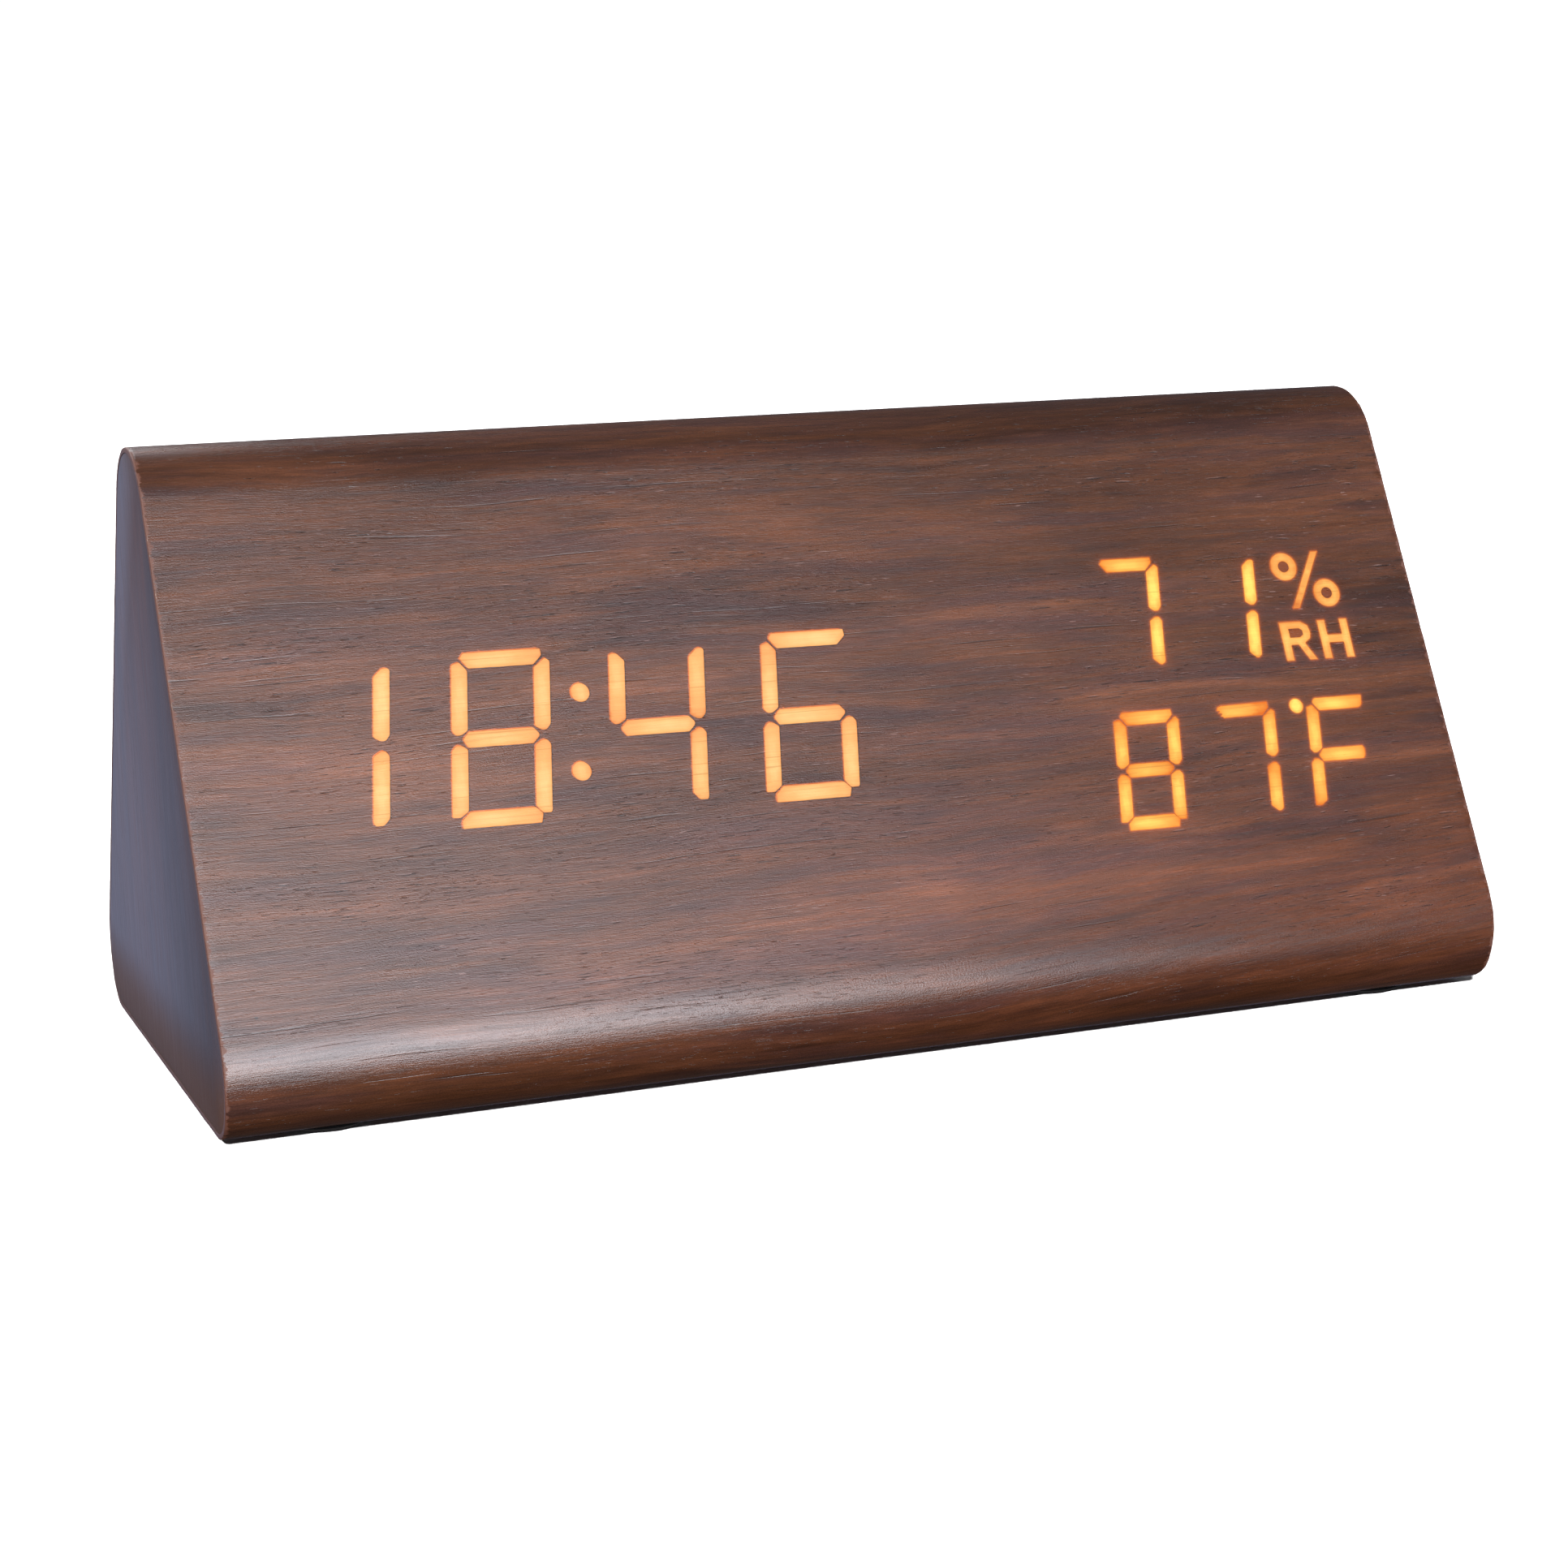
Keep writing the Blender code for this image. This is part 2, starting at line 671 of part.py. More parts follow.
def make_core():
    """The hollow wood board body: windowed in front for the display and open at the back."""
    core = along_body("wood_core", body_section(core_inset), core_length, "wood board")
    front_offset = core_inset + front_wall
    rear_offset = core_inset + rear_wall
    floor_z = seat_height + core_inset + floor_wall
    run = math.cos(face_angle)
    rise = math.sin(face_angle)

    def face_y(offset, z):
        """How far from the middle a plane lies that is parallel to a face and offset inwards."""
        return (corner_radius - offset + run * (upper_centre_z - z)) / rise

    peak_z = upper_centre_z + (2 * corner_radius - front_offset - rear_offset) / (2 * run)
    cavity = [
        (-face_y(front_offset, floor_z), floor_z),
        (face_y(rear_offset, floor_z), floor_z),
        (face_y(rear_offset, peak_z), peak_z),
    ]
    combine(core, along_body("core_cavity", cavity, cavity_length), "DIFFERENCE")
    window = rounded_rectangle(
        module_width + 2 * seat_gap, module_height + 2 * seat_gap, module_radius + seat_gap
    )
    window_cut = prism(window, -front_offset - overrun, overrun)
    combine(core, add_cutter("core_window", window_cut, display_face), "DIFFERENCE")
    rebate = rounded_rectangle(
        panel_width + 2 * seat_gap, panel_height + 2 * seat_gap, panel_radius + seat_gap
    )
    rebate_cut = prism(rebate, -panel_back - seat_gap, overrun)
    combine(core, add_cutter("core_rebate", rebate_cut, panel_face), "DIFFERENCE")
    opening = rectangle(panel_width - 2 * panel_ledge_side, panel_height - 2 * panel_ledge)
    opening_cut = prism(opening, -rear_offset - overrun, overrun)
    combine(core, add_cutter("core_opening", opening_cut, panel_face), "DIFFERENCE")
    rear_pilots = bmesh.new()
    for place in panel_screw_places():
        pilot_hole(rear_pilots, place, -rear_offset - overrun, overrun)
    combine(core, add_cutter("rear_pilots", rear_pilots, panel_face), "DIFFERENCE")
    front_pilots = bmesh.new()
    pilot_end = display_board_depth + board_thickness - screw_shank_length - overrun
    for place in display_screw_places():
        pilot_hole(front_pilots, place, -front_offset - overrun, -pilot_end)
    combine(core, add_cutter("front_pilots", front_pilots, display_face), "DIFFERENCE")


def make_veneers(groups):
    """The veneer wrapped round the body, with a window for each lit mark, and the two end veneers."""
    wrap = along_body("veneer_wrap", body_section(0), body_length, "walnut veneer")
    inside = along_body("veneer_inside", body_section(veneer_thickness), body_length + 2 * overrun)
    combine(wrap, inside, "DIFFERENCE")
    windows = bmesh.new()
    for _, _, outlines, _, _ in groups:
        for outline in outlines:
            extrude_outline(
                windows, grown(outline, window_clearance), -veneer_thickness - overrun, overrun
            )
    combine(wrap, add_cutter("veneer_windows", windows, display_face), "DIFFERENCE")
    opening = rounded_rectangle(
        panel_width + 2 * seat_gap, panel_height + 2 * seat_gap, panel_radius + seat_gap
    )
    opening_cut = prism(opening, -veneer_thickness - overrun, overrun)
    combine(wrap, add_cutter("veneer_opening", opening_cut, panel_face), "DIFFERENCE")
    end_centre = (body_length - veneer_thickness) / 2
    for name, side in (("left_end_veneer", -1), ("right_end_veneer", 1)):
        along_body(name, body_section(core_inset), veneer_thickness, "walnut veneer", side * end_centre)


def make_feet():
    x = body_length / 2 - foot_inset_x
    y = body_depth / 2 - foot_inset_y
    edge = foot_thickness / 3
    profile = [
        (0, 0), (foot_radius - edge, 0), (foot_radius, edge), (foot_radius, foot_thickness),
        (0, foot_thickness),
    ]
    for end, side in (("left", -1), ("right", 1)):
        for face, level in (("front", -1), ("rear", 1)):
            add_object(
                face + "_" + end + "_foot", turned(profile), "foot rubber", location=(side * x, level * y, 0)
            )


def make_light_guides(groups):
    """The clear guides that fill the veneer's windows, each group raised on its plate."""
    for name, finish, outlines, bores, row_height in groups:
        plate = prism(plate_outline(outlines, row_height), -guide_depth - guide_plate_thickness, -guide_depth)
        guide = add_object(name, plate, finish, display_face)
        bars = bmesh.new()
        for outline in outlines:
            extrude_outline(bars, outline, -guide_depth - guide_plate_thickness / 2, 0)
        combine(guide, add_cutter(name + "_bars", bars, display_face), "UNION")
        if bores:
            holes = bmesh.new()
            for bore in bores:
                extrude_outline(holes, bore, -guide_depth, overrun)
            combine(guide, add_cutter(name + "_bores", holes, display_face), "DIFFERENCE")


def make_display_module():
    """The reflector block with its cups, and behind it the board with a diode in each cup."""
    outline = rounded_rectangle(module_width, module_height, module_radius)
    top = -reflector_depth
    bottom = -reflector_depth - reflector_thickness
    block = prism(outline, bottom, top)
    reflector = add_object("display_reflector", block, "reflector plastic", display_face)
    cups = bmesh.new()
    diodes = bmesh.new()
    board_top = -display_board_depth
    for centre, flat, length in every_segment():
        cup_length = length - 2 * cup_end_gap
        cup = (cup_length, cup_width) if flat else (cup_width, cup_length)
        extrude_outline(cups, rectangle(*cup, centre), bottom - overrun, top + overrun)
        body = (diode_length, diode_width) if flat else (diode_width, diode_length)
        extrude_outline(
            diodes, rectangle(*body, centre), board_top - board_thickness / 2, board_top + diode_height
        )
    combine(reflector, add_cutter("reflector_cups", cups, display_face), "DIFFERENCE")
    board_outline = rounded_rectangle(display_board_width, display_board_height, module_radius)
    board = add_object(
        "display_board", prism(board_outline, board_top - board_thickness, board_top), "circuit board",
        display_face,
    )
    combine(board, add_cutter("display_diodes", diodes, display_face), "UNION")
    holes = bmesh.new()
    for place in display_screw_places():
        pilot_hole(holes, place, board_top - board_thickness - overrun, board_top + overrun)
    combine(board, add_cutter("display_board_holes", holes, display_face), "DIFFERENCE")
    screw_face = add_frame(
        "display_screw_face", (0, 0, board_top - board_thickness - seat_gap - screw_head_height),
        (math.pi, 0, 0), display_face,
    )
    for number, place in enumerate(display_screw_places(), 1):
        add_screw("display_board_screw_" + str(number), panel_screw_mesh, screw_face, place, 0)


def button_places():
    return [
        (main_board_x + (index - 1) * button_pitch, button_height) for index in range(len(button_names))
    ]


def board_place(place):
    return (main_board_x + place[0], place[1])


def make_rear_panel():
    """The black panel in the body's back, with the battery bay and the posts for the main board."""
    outline = rounded_rectangle(panel_width, panel_height, panel_radius)
    panel = add_object(
        "rear_panel", prism(outline, -panel_back, -panel_recess), "black plastic", panel_face
    )
    bay_centre = (bay_centre_x, 0)
    bay_block = bmesh.new()
    extrude_outline(
        bay_block, rectangle(bay_outer_length, bay_outer_width, bay_centre), -bay_depth - bay_floor,
        -panel_back + panel_thickness / 2,
    )
    combine(panel, add_cutter("bay_block", bay_block, panel_face), "UNION")
    posts = bmesh.new()
    for place in post_places:
        extrude_outline(
            posts, circle(board_place(place), post_radius), -main_board_top + seat_gap,
            -panel_back + panel_thickness / 2,
        )
    combine(panel, add_cutter("board_posts", posts, panel_face), "UNION")
    bay_space = prism(rectangle(bay_length, bay_width, bay_centre), -bay_depth, overrun)
    combine(panel, add_cutter("bay_space", bay_space, panel_face), "DIFFERENCE")
    door_space = prism(
        rectangle(door_opening_length, door_opening_width, bay_centre),
        -panel_recess - door_thickness - seat_gap, overrun,
    )
    combine(panel, add_cutter("door_space", door_space, panel_face), "DIFFERENCE")
    ribs = bmesh.new()
    for index in range(cell_count - 1):
        y = (index + 0.5 - (cell_count - 1) / 2) * cell_spacing
        rib_centre = (bay_centre_x, y)
        extrude_outline(
            ribs, rectangle(bay_length / 2, bay_rib_width / 2, rib_centre), -bay_depth - bay_floor / 2,
            -bay_depth + bay_rib_height,
        )
    combine(panel, add_cutter("bay_ribs", ribs, panel_face), "UNION")
    pin_run = door_opening_length + 2 * (door_pin_length + seat_gap)
    pin_socket = prism(
        circle((0, 0), door_pin_radius + seat_gap), -pin_run / 2, pin_run / 2
    )
    pin_cutter = add_cutter(
        "door_pin_sockets", pin_socket, panel_face, (bay_centre_x, door_pin_height, -door_pin_depth),
        (0, math.pi / 2, 0),
    )
    combine(panel, pin_cutter, "DIFFERENCE")
    make_panel_holes(panel)
    for number, place in enumerate(panel_screw_places(), 1):
        add_screw("rear_panel_screw_" + str(number), panel_screw_mesh, panel_face, place, 2 * panel_recess)


def make_panel_holes(panel):
    """The panel's holes for screws, buttons, the power inlet, sound and air."""
    holes = bmesh.new()
    low = -panel_back - overrun
    for place in panel_screw_places():
        pilot_hole(holes, place, low, overrun)
    for place in button_places():
        extrude_outline(holes, circle(place, button_radius + button_clearance, round_steps), low, overrun)
    extrude_outline(holes, circle(board_place(inlet_place), inlet_hole_radius, round_steps), low, overrun)
    extrude_outline(holes, circle(board_place(microphone_place), capsule_hole_radius), low, overrun)
    buzzer_centre = board_place(buzzer_place)
    for index in range(sound_hole_count):
        angle = math.tau * index / sound_hole_count
        centre = (
            buzzer_centre[0] + sound_hole_spread * math.cos(angle),
            buzzer_centre[1] + sound_hole_spread * math.sin(angle),
        )
        extrude_outline(holes, circle(centre, sound_hole_radius, fine_hole_steps), low, overrun)
    sensor_centre = board_place(sensor_place)
    for index in range(vent_count):
        y = sensor_centre[1] + (index - (vent_count - 1) / 2) * vent_pitch
        extrude_outline(holes, rectangle(vent_length, vent_width, (sensor_centre[0], y)), low, overrun)
    combine(panel, add_cutter("panel_holes", holes, panel_face), "DIFFERENCE")
    heads = bmesh.new()
    head_floor = -2 * panel_recess - screw_head_height - seat_gap
    for place in panel_screw_places():
        extrude_outline(heads, circle(place, screw_head_radius + seat_gap), head_floor, overrun)
    combine(panel, add_cutter("screw_head_recesses", heads, panel_face), "DIFFERENCE")
    screws = bmesh.new()
    for place in post_places:
        pilot_hole(
            screws, board_place(place), -main_board_top - overrun,
            -main_board_top + post_screw_length,
        )
    combine(panel, add_cutter("post_pilots", screws, panel_face), "DIFFERENCE")


def make_battery_door():
    """The door, with its lower edge rounded about its two pins, a latch leg above and finger grips."""
    length = door_opening_length - 2 * seat_gap
    half = door_thickness / 2
    reach = door_opening_width - 2 * seat_gap - half
    edge = arc((0, 0), half, math.pi / 2, math.pi * 1.5, arc_steps)
    section = edge + [(reach, -half), (reach, half)]
    door = add_object(
        "battery_door", prism(section, -length / 2, length / 2), "black plastic", panel_face,
        (bay_centre_x, door_pin_height, -door_pin_depth), (math.pi / 2, 0, math.pi / 2),
    )
    pin_run = length + 2 * door_pin_length
    pins = prism(circle((0, 0), door_pin_radius), -pin_run / 2, pin_run / 2)
    place = {"parent": door}
    combine(door, add_cutter("door_pins", pins, **place), "UNION")
    leg_far = reach - seat_gap - (door_opening_width - bay_width) / 2
    leg = [
        (leg_far - door_latch_thickness, -half - door_latch_depth), (leg_far, -half - door_latch_depth),
        (leg_far, 0), (leg_far - door_latch_thickness, 0),
    ]
    latch = prism(leg, -door_latch_width / 2, door_latch_width / 2)
    combine(door, add_cutter("door_latch", latch, **place), "UNION")
    grooves = bmesh.new()
    for index in range(door_grip_count):
        middle = reach - door_grip_inset - index * door_grip_pitch
        groove = [
            (middle - door_grip_height / 2, half + overrun), (middle, half - door_grip_depth),
            (middle + door_grip_height / 2, half + overrun),
        ]
        extrude_outline(grooves, groove, -door_grip_width / 2, door_grip_width / 2)
    combine(door, add_cutter("door_grips", grooves, **place), "DIFFERENCE")


def cell_places():
    """Each cell's height in the bay and the way its raised end points along the bay."""
    return [
        ((index - (cell_count - 1) / 2) * cell_spacing, 1 if index % 2 == 0 else -1)
        for index in range(cell_count)
    ]


def make_cells():
    """The cells, each with the spring at its flat end."""
    half = bay_length / 2
    flat_end = -half + seat_gap + contact_thickness + 2 * seat_gap + spring_length
    shoulder = flat_end + cell_length - cell_nub_length
    profile = [
        (0, flat_end), (cell_radius - cell_edge, flat_end), (cell_radius, flat_end + cell_edge),
        (cell_radius, shoulder - cell_edge), (cell_radius - cell_edge, shoulder),
        (cell_nub_radius, shoulder), (cell_nub_radius, shoulder + cell_nub_length),
        (0, shoulder + cell_nub_length),
    ]
    for number, (y, side) in enumerate(cell_places(), 1):
        place = {
            "parent": panel_face,
            "location": (bay_centre_x, y, -cell_depth),
            "rotation": (0, side * math.pi / 2, 0),
        }
        add_object("battery_cell_" + str(number), turned(profile, round_steps), "cell sleeve", **place)
        make_spring("battery_spring_" + str(number), flat_end - seat_gap - spring_length, place)


def make_spring(name, start, place):
    """A contact spring of round wire that narrows towards the cell, standing on z from start."""
    curve = bpy.data.curves.new(name, "CURVE")
    curve.dimensions = "3D"
    curve.bevel_depth = spring_wire_radius
    curve.bevel_resolution = 1
    curve.use_fill_caps = True
    curve.resolution_u = 1
    line = curve.splines.new("POLY")
    count = round(spring_turns * spring_steps)
    line.points.add(count)
    rise = spring_length - 2 * spring_wire_radius
    for index in range(count + 1):
        angle = math.tau * index / spring_steps
        along = index / count
        radius = spring_radius + (spring_tip_radius - spring_radius) * along
        z = start + spring_wire_radius + rise * along
        line.points[index].co = (radius * math.cos(angle), radius * math.sin(angle), z, 1)
    curve.materials.append(material("nickel"))
    made = bpy.data.objects.new(name, curve)
    bpy.context.scene.collection.objects.link(made)
    made.parent = place["parent"]
    made.location = place["location"]
    made.rotation_euler = place["rotation"]


def make_contacts():
    """The contact plates at the bay's ends: one at each end of the row of cells and two that link cells."""
    lowest = -(cell_count - 1) / 2 * cell_spacing
    plates = (
        ("negative_contact", -1, 0, 0),
        ("lower_link_contact", 1, 0, 1),
        ("upper_link_contact", -1, 1, 2),
        ("positive_contact", 1, 2, 2),
    )
    outer = bay_length / 2 - seat_gap
    for name, side, first, last in plates:
        middle = lowest + (first + last) / 2 * cell_spacing
        height = contact_height + (last - first) * cell_spacing
        outline = rounded_rectangle(contact_width, height, contact_radius, steps=2)
        place = {
            "parent": panel_face,
            "location": (bay_centre_x + side * outer, middle, -cell_depth),
            "rotation": (0, -side * math.pi / 2, 0),
        }
        plate = add_object(name, prism(outline, 0, contact_thickness), "nickel", **place)
        dimples = bmesh.new()
        for index in range(first, last + 1):
            points_here = 1 if index % 2 == 0 else -1
            if points_here == side:
                centre = (0, lowest + index * cell_spacing - middle)
                extrude_outline(
                    dimples, circle(centre, dimple_radius), contact_thickness / 2,
                    contact_thickness + dimple_length,
                )
        if dimples.verts:
            combine(plate, add_cutter(name + "_dimples", dimples, **place), "UNION")
        else:
            dimples.free()


def make_main_board():
    """The main board on its posts, with the parts on both of its sides."""
    board = add_object(
        "main_board",
        prism(rectangle(main_board_width, main_board_height, (main_board_x, 0)), -main_board_back,
              -main_board_top),
        "circuit board", panel_face,
    )
    holes = bmesh.new()
    for place in post_places:
        pilot_hole(holes, board_place(place), -main_board_back - overrun, -main_board_top + overrun)
    combine(board, add_cutter("main_board_holes", holes, panel_face), "DIFFERENCE")
    screw_face = add_frame(
        "post_screw_face", (0, 0, -main_board_back - seat_gap - screw_head_height), (math.pi, 0, 0),
        panel_face,
    )
    for number, place in enumerate(post_places, 1):
        x, y = board_place(place)
        add_screw("main_board_screw_" + str(number), post_screw_mesh, screw_face, (x, -y), 0)


def make_buttons():
    """The three buttons, each with the push switch that its stem works."""
    top = -panel_recess + button_stand
    profile = [
        (0, -button_stem_end), (button_stem_radius, -button_stem_end),
        (button_stem_radius, -button_flange_depth - button_flange_thickness),
        (button_flange_radius, -button_flange_depth - button_flange_thickness),
        (button_flange_radius, -button_flange_depth), (button_radius, -button_flange_depth),
        (button_radius, top - button_edge), (button_radius - button_edge, top), (0, top),
    ]
    well_radius = button_stem_radius + button_clearance
    well_depth = button_stem_end + button_travel + seat_gap
    for name, place in zip(button_names, button_places()):
        location = (place[0], place[1], 0)
        add_object(name, turned(profile), "button plastic", panel_face, location)
        switch = add_object(
            name.replace("button", "switch"),
            prism(rectangle(switch_width, switch_width), -switch_depth - switch_height, -switch_depth),
            "chip resin", panel_face, location,
        )
        well = prism(circle((0, 0), well_radius), -well_depth, -switch_depth + overrun)
        combine(switch, add_cutter(name + "_well", well, panel_face, location), "DIFFERENCE")


def make_panel_side_parts():
    """The power inlet, buzzer, microphone and sensor, between the main board and the panel."""
    foot = -main_board_top + seat_gap
    x, y = board_place(inlet_place)
    inlet_top = -panel_back - seat_gap
    outline = rounded_rectangle(inlet_width, inlet_width, capsule_edge, steps=2)
    inlet = add_object(
        "power_inlet", prism(outline, foot, inlet_top), "black plastic", panel_face, (x, y, 0)
    )
    bore_floor = inlet_top - inlet_bore_depth
    bore = turned([
        (inlet_pin_radius, bore_floor), (inlet_bore_radius, bore_floor),
        (inlet_bore_radius, inlet_top + overrun), (inlet_pin_radius, inlet_top + overrun),
    ], small_round_steps, closed=True)
    combine(inlet, add_cutter("inlet_bore", bore, panel_face, (x, y, 0)), "DIFFERENCE")
    for name, radius, height, place, finish in (
        ("buzzer", buzzer_radius, buzzer_height, buzzer_place, "chip resin"),
        ("microphone", microphone_radius, microphone_height, microphone_place, "nickel"),
    ):
        top = foot + height
        profile = [
            (0, foot), (radius, foot), (radius, top - capsule_edge), (radius - capsule_edge, top),
            (capsule_hole_radius, top), (capsule_hole_radius, top - capsule_edge), (0, top - capsule_edge),
        ]
        centre = board_place(place)
        add_object(name, turned(profile), finish, panel_face, (*centre, 0))
    centre = board_place(sensor_place)
    sensor = add_object(
        "air_sensor", prism(rectangle(sensor_width, sensor_width), foot, foot + sensor_height),
        "reflector plastic", panel_face, (*centre, 0),
    )
    slots = bmesh.new()
    for index in range(vent_count):
        slot_y = (index - (vent_count - 1) / 2) * vent_width * 2
        extrude_outline(
            slots, rectangle(sensor_width - 2 * vent_width, vent_width, (0, slot_y)),
            foot + sensor_height - capsule_edge, foot + sensor_height + overrun,
        )
    combine(sensor, add_cutter("sensor_slots", slots, panel_face, (*centre, 0)), "DIFFERENCE")


def make_inner_parts():
    """The chips, the crystal and the ribbon sockets on the boards' inner sides."""
    top = -main_board_back - seat_gap
    x, y = board_place(controller_place)
    edge = capsule_edge
    outline = rounded_rectangle(controller_width, controller_width, edge, steps=1)
    add_object(
        "microcontroller", prism(outline, top - controller_height, top), "chip resin", panel_face, (x, y, 0)
    )
    x, y = board_place(crystal_place)
    half = crystal_length / 2
    profile = [
        (0, -half), (crystal_radius - edge, -half), (crystal_radius, -half + edge),
        (crystal_radius, half - edge), (crystal_radius - edge, half), (0, half),
    ]
    add_object(
        "clock_crystal", turned(profile, small_round_steps), "nickel", panel_face,
        (x, y, top - crystal_radius), (math.pi / 2, 0, 0),
    )
    add_object(
        "main_ribbon_socket", prism(rectangle(socket_width, socket_depth), top - socket_height, top),
        "reflector plastic", panel_face, (main_board_x, main_socket_height, 0),
    )
    back = -display_board_depth - board_thickness - seat_gap
    add_object(
        "display_driver",
        prism(rounded_rectangle(driver_length, driver_width, edge, steps=1), back - driver_height, back),
        "chip resin", front_face, (driver_place[0], display_centre_height + driver_place[1], 0),
    )
    add_object(
        "display_ribbon_socket", prism(rectangle(socket_width, socket_depth), back - socket_height, back),
        "reflector plastic", front_face,
        (-main_board_x, display_centre_height + display_socket_height, 0),
    )


def make_ribbon():
    """The flat ribbon that hangs in a shallow curve between the two sockets."""
    run = math.cos(face_angle)
    rise = math.sin(face_angle)
    rear_height = face_length / 2 + main_socket_height
    rear_depth = main_board_back + 2 * seat_gap + socket_height
    front_height = display_centre_height + display_socket_height
    front_depth = display_board_depth + board_thickness + 2 * seat_gap + socket_height
    start = Vector((face_foot_y - run * rear_height - rise * rear_depth,
                    face_foot_z + rise * rear_height - run * rear_depth))
    end = Vector((-face_foot_y + run * front_height + rise * front_depth,
                  face_foot_z + rise * front_height - run * front_depth))
    first_pull = start + Vector((-rise, -run)) * ribbon_reach
    second_pull = end + Vector((rise, -run)) * ribbon_reach
    above = []
    below = []
    for index in range(ribbon_steps + 1):
        t = index / ribbon_steps
        s = 1 - t
        point = start * s ** 3 + first_pull * 3 * s * s * t + second_pull * 3 * s * t * t + end * t ** 3
        pull = (first_pull - start) * s * s + (second_pull - first_pull) * 2 * s * t
        pull = (pull + (end - second_pull) * t * t).normalized()
        side = Vector((-pull.y, pull.x)) * ribbon_thickness / 2
        above.append(tuple(point + side))
        below.append(tuple(point - side))
    along_body("ribbon_cable", above + below[::-1], ribbon_width, "ribbon sleeve", -main_board_x)


display_marks = display_groups()
make_core()
make_veneers(display_marks)
make_feet()
make_light_guides(display_marks)
make_display_module()
make_rear_panel()
make_battery_door()
make_cells()
make_contacts()
make_main_board()
make_buttons()
make_panel_side_parts()
make_inner_parts()
make_ribbon()
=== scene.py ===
import math
import random

import bmesh
import bpy
import numpy as np
from mathutils import Matrix, Quaternion, Vector, geometry, noise


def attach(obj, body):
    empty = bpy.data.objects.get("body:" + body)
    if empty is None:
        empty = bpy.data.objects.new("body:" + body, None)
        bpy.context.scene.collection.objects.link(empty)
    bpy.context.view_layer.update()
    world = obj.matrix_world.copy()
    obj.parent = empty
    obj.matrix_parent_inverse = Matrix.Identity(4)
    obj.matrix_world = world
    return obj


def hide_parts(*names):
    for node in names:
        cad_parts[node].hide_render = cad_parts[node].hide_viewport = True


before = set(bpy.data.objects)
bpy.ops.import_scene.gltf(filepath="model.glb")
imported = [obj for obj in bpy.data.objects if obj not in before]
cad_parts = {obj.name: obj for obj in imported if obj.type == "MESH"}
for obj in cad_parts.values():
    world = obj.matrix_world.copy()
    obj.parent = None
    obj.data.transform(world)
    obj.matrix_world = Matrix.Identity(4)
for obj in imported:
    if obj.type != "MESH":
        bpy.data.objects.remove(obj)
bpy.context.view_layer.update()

mm = 0.001
# the marks' edges wander in the same way in every run
noise.seed_set(1)
print("frame loaded:", len(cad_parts), "nodes")

# sizes of the clock in mm, as the solids have them
clock = {
    "length": 150.0,
    "depth": 72.0,
    "height": 69.0,
    "cornerRadius": 9.0,
    "baseTrim": 2.0,
    "seat": 1.0,
    "veneer": 0.6,
    "displayDrop": 0.84,
    "displayTurn": math.radians(-0.8),
}
halfLength = clock["length"] / 2
lowerY = clock["depth"] / 2 - clock["cornerRadius"]
lowerZ = clock["seat"] + clock["cornerRadius"] - clock["baseTrim"]
upperZ = clock["seat"] + clock["height"] - clock["cornerRadius"]
faceLength = math.hypot(lowerY, upperZ - lowerZ)
faceAngle = math.atan2(upperZ - lowerZ, lowerY)
footY = lowerY + clock["cornerRadius"] * math.sin(faceAngle)
footZ = lowerZ + clock["cornerRadius"] * math.cos(faceAngle)
footAngle = math.asin((lowerZ - clock["seat"]) / clock["cornerRadius"])

frontFace = Matrix.Translation((0, -footY, footZ)) @ Matrix.Rotation(faceAngle, 4, "X")
rearTurn = Matrix.Rotation(math.pi, 4, "Z") @ Matrix.Rotation(faceAngle, 4, "X")
rearFace = Matrix.Translation((0, footY, footZ)) @ rearTurn
panelFace = rearFace @ Matrix.Translation((0, faceLength / 2, 0))


# mesh helpers, all in mm
def finishMesh(name, verts, faces, material, smoothAngle=35):
    mesh = bpy.data.meshes.new(name)
    mesh.from_pydata([(x * mm, y * mm, z * mm) for x, y, z in verts], [], faces)
    mesh.polygons.foreach_set("use_smooth", [True] * len(mesh.polygons))
    mesh.update()
    mesh.set_sharp_from_angle(angle=math.radians(smoothAngle))
    mesh.materials.append(material)
    return mesh


def addPiece(name, mesh, body, slot, *nodes):
    made = bpy.data.objects.new(name, mesh)
    bpy.context.scene.collection.objects.link(made)
    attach(made, body)
    if nodes:
        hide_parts(*nodes)
    return made


def setGrain(mesh, corners):
    # where in the grain each corner of each face lies
    places = np.array([place for face in corners for place in face], dtype=np.float32)
    mesh.attributes.new("grain", "FLOAT_VECTOR", "CORNER").data.foreach_set("vector", places.ravel())


def setLevels(mesh, name, levels):
    mesh.attributes.new(name, "FLOAT", "POINT").data.foreach_set("value", np.array(levels, dtype=np.float32))


def signedArea(loop):
    return sum(a[0] * b[1] - b[0] * a[1] for a, b in zip(loop, loop[1:] + loop[:1])) / 2


def turnOf(a, b, c):
    # above nought where the three points run anticlockwise
    return (b[0] - a[0]) * (c[1] - a[1]) - (b[1] - a[1]) * (c[0] - a[0])


def moved(loop, amount):
    # each side moved outwards by amount, for a loop that runs anticlockwise
    made = []
    for index, here in enumerate(loop):
        before = loop[index - 1]
        after = loop[(index + 1) % len(loop)]
        first = Vector((here[0] - before[0], here[1] - before[1])).normalized()
        second = Vector((after[0] - here[0], after[1] - here[1])).normalized()
        normal = Vector((first.y + second.y, -first.x - second.x))
        size = normal.length_squared
        if size < 0.4:
            normal = Vector((first.y, -first.x)) * 2
            size = 4
        made.append((here[0] + normal.x * 2 * amount / size, here[1] + normal.y * 2 * amount / size))
    return made


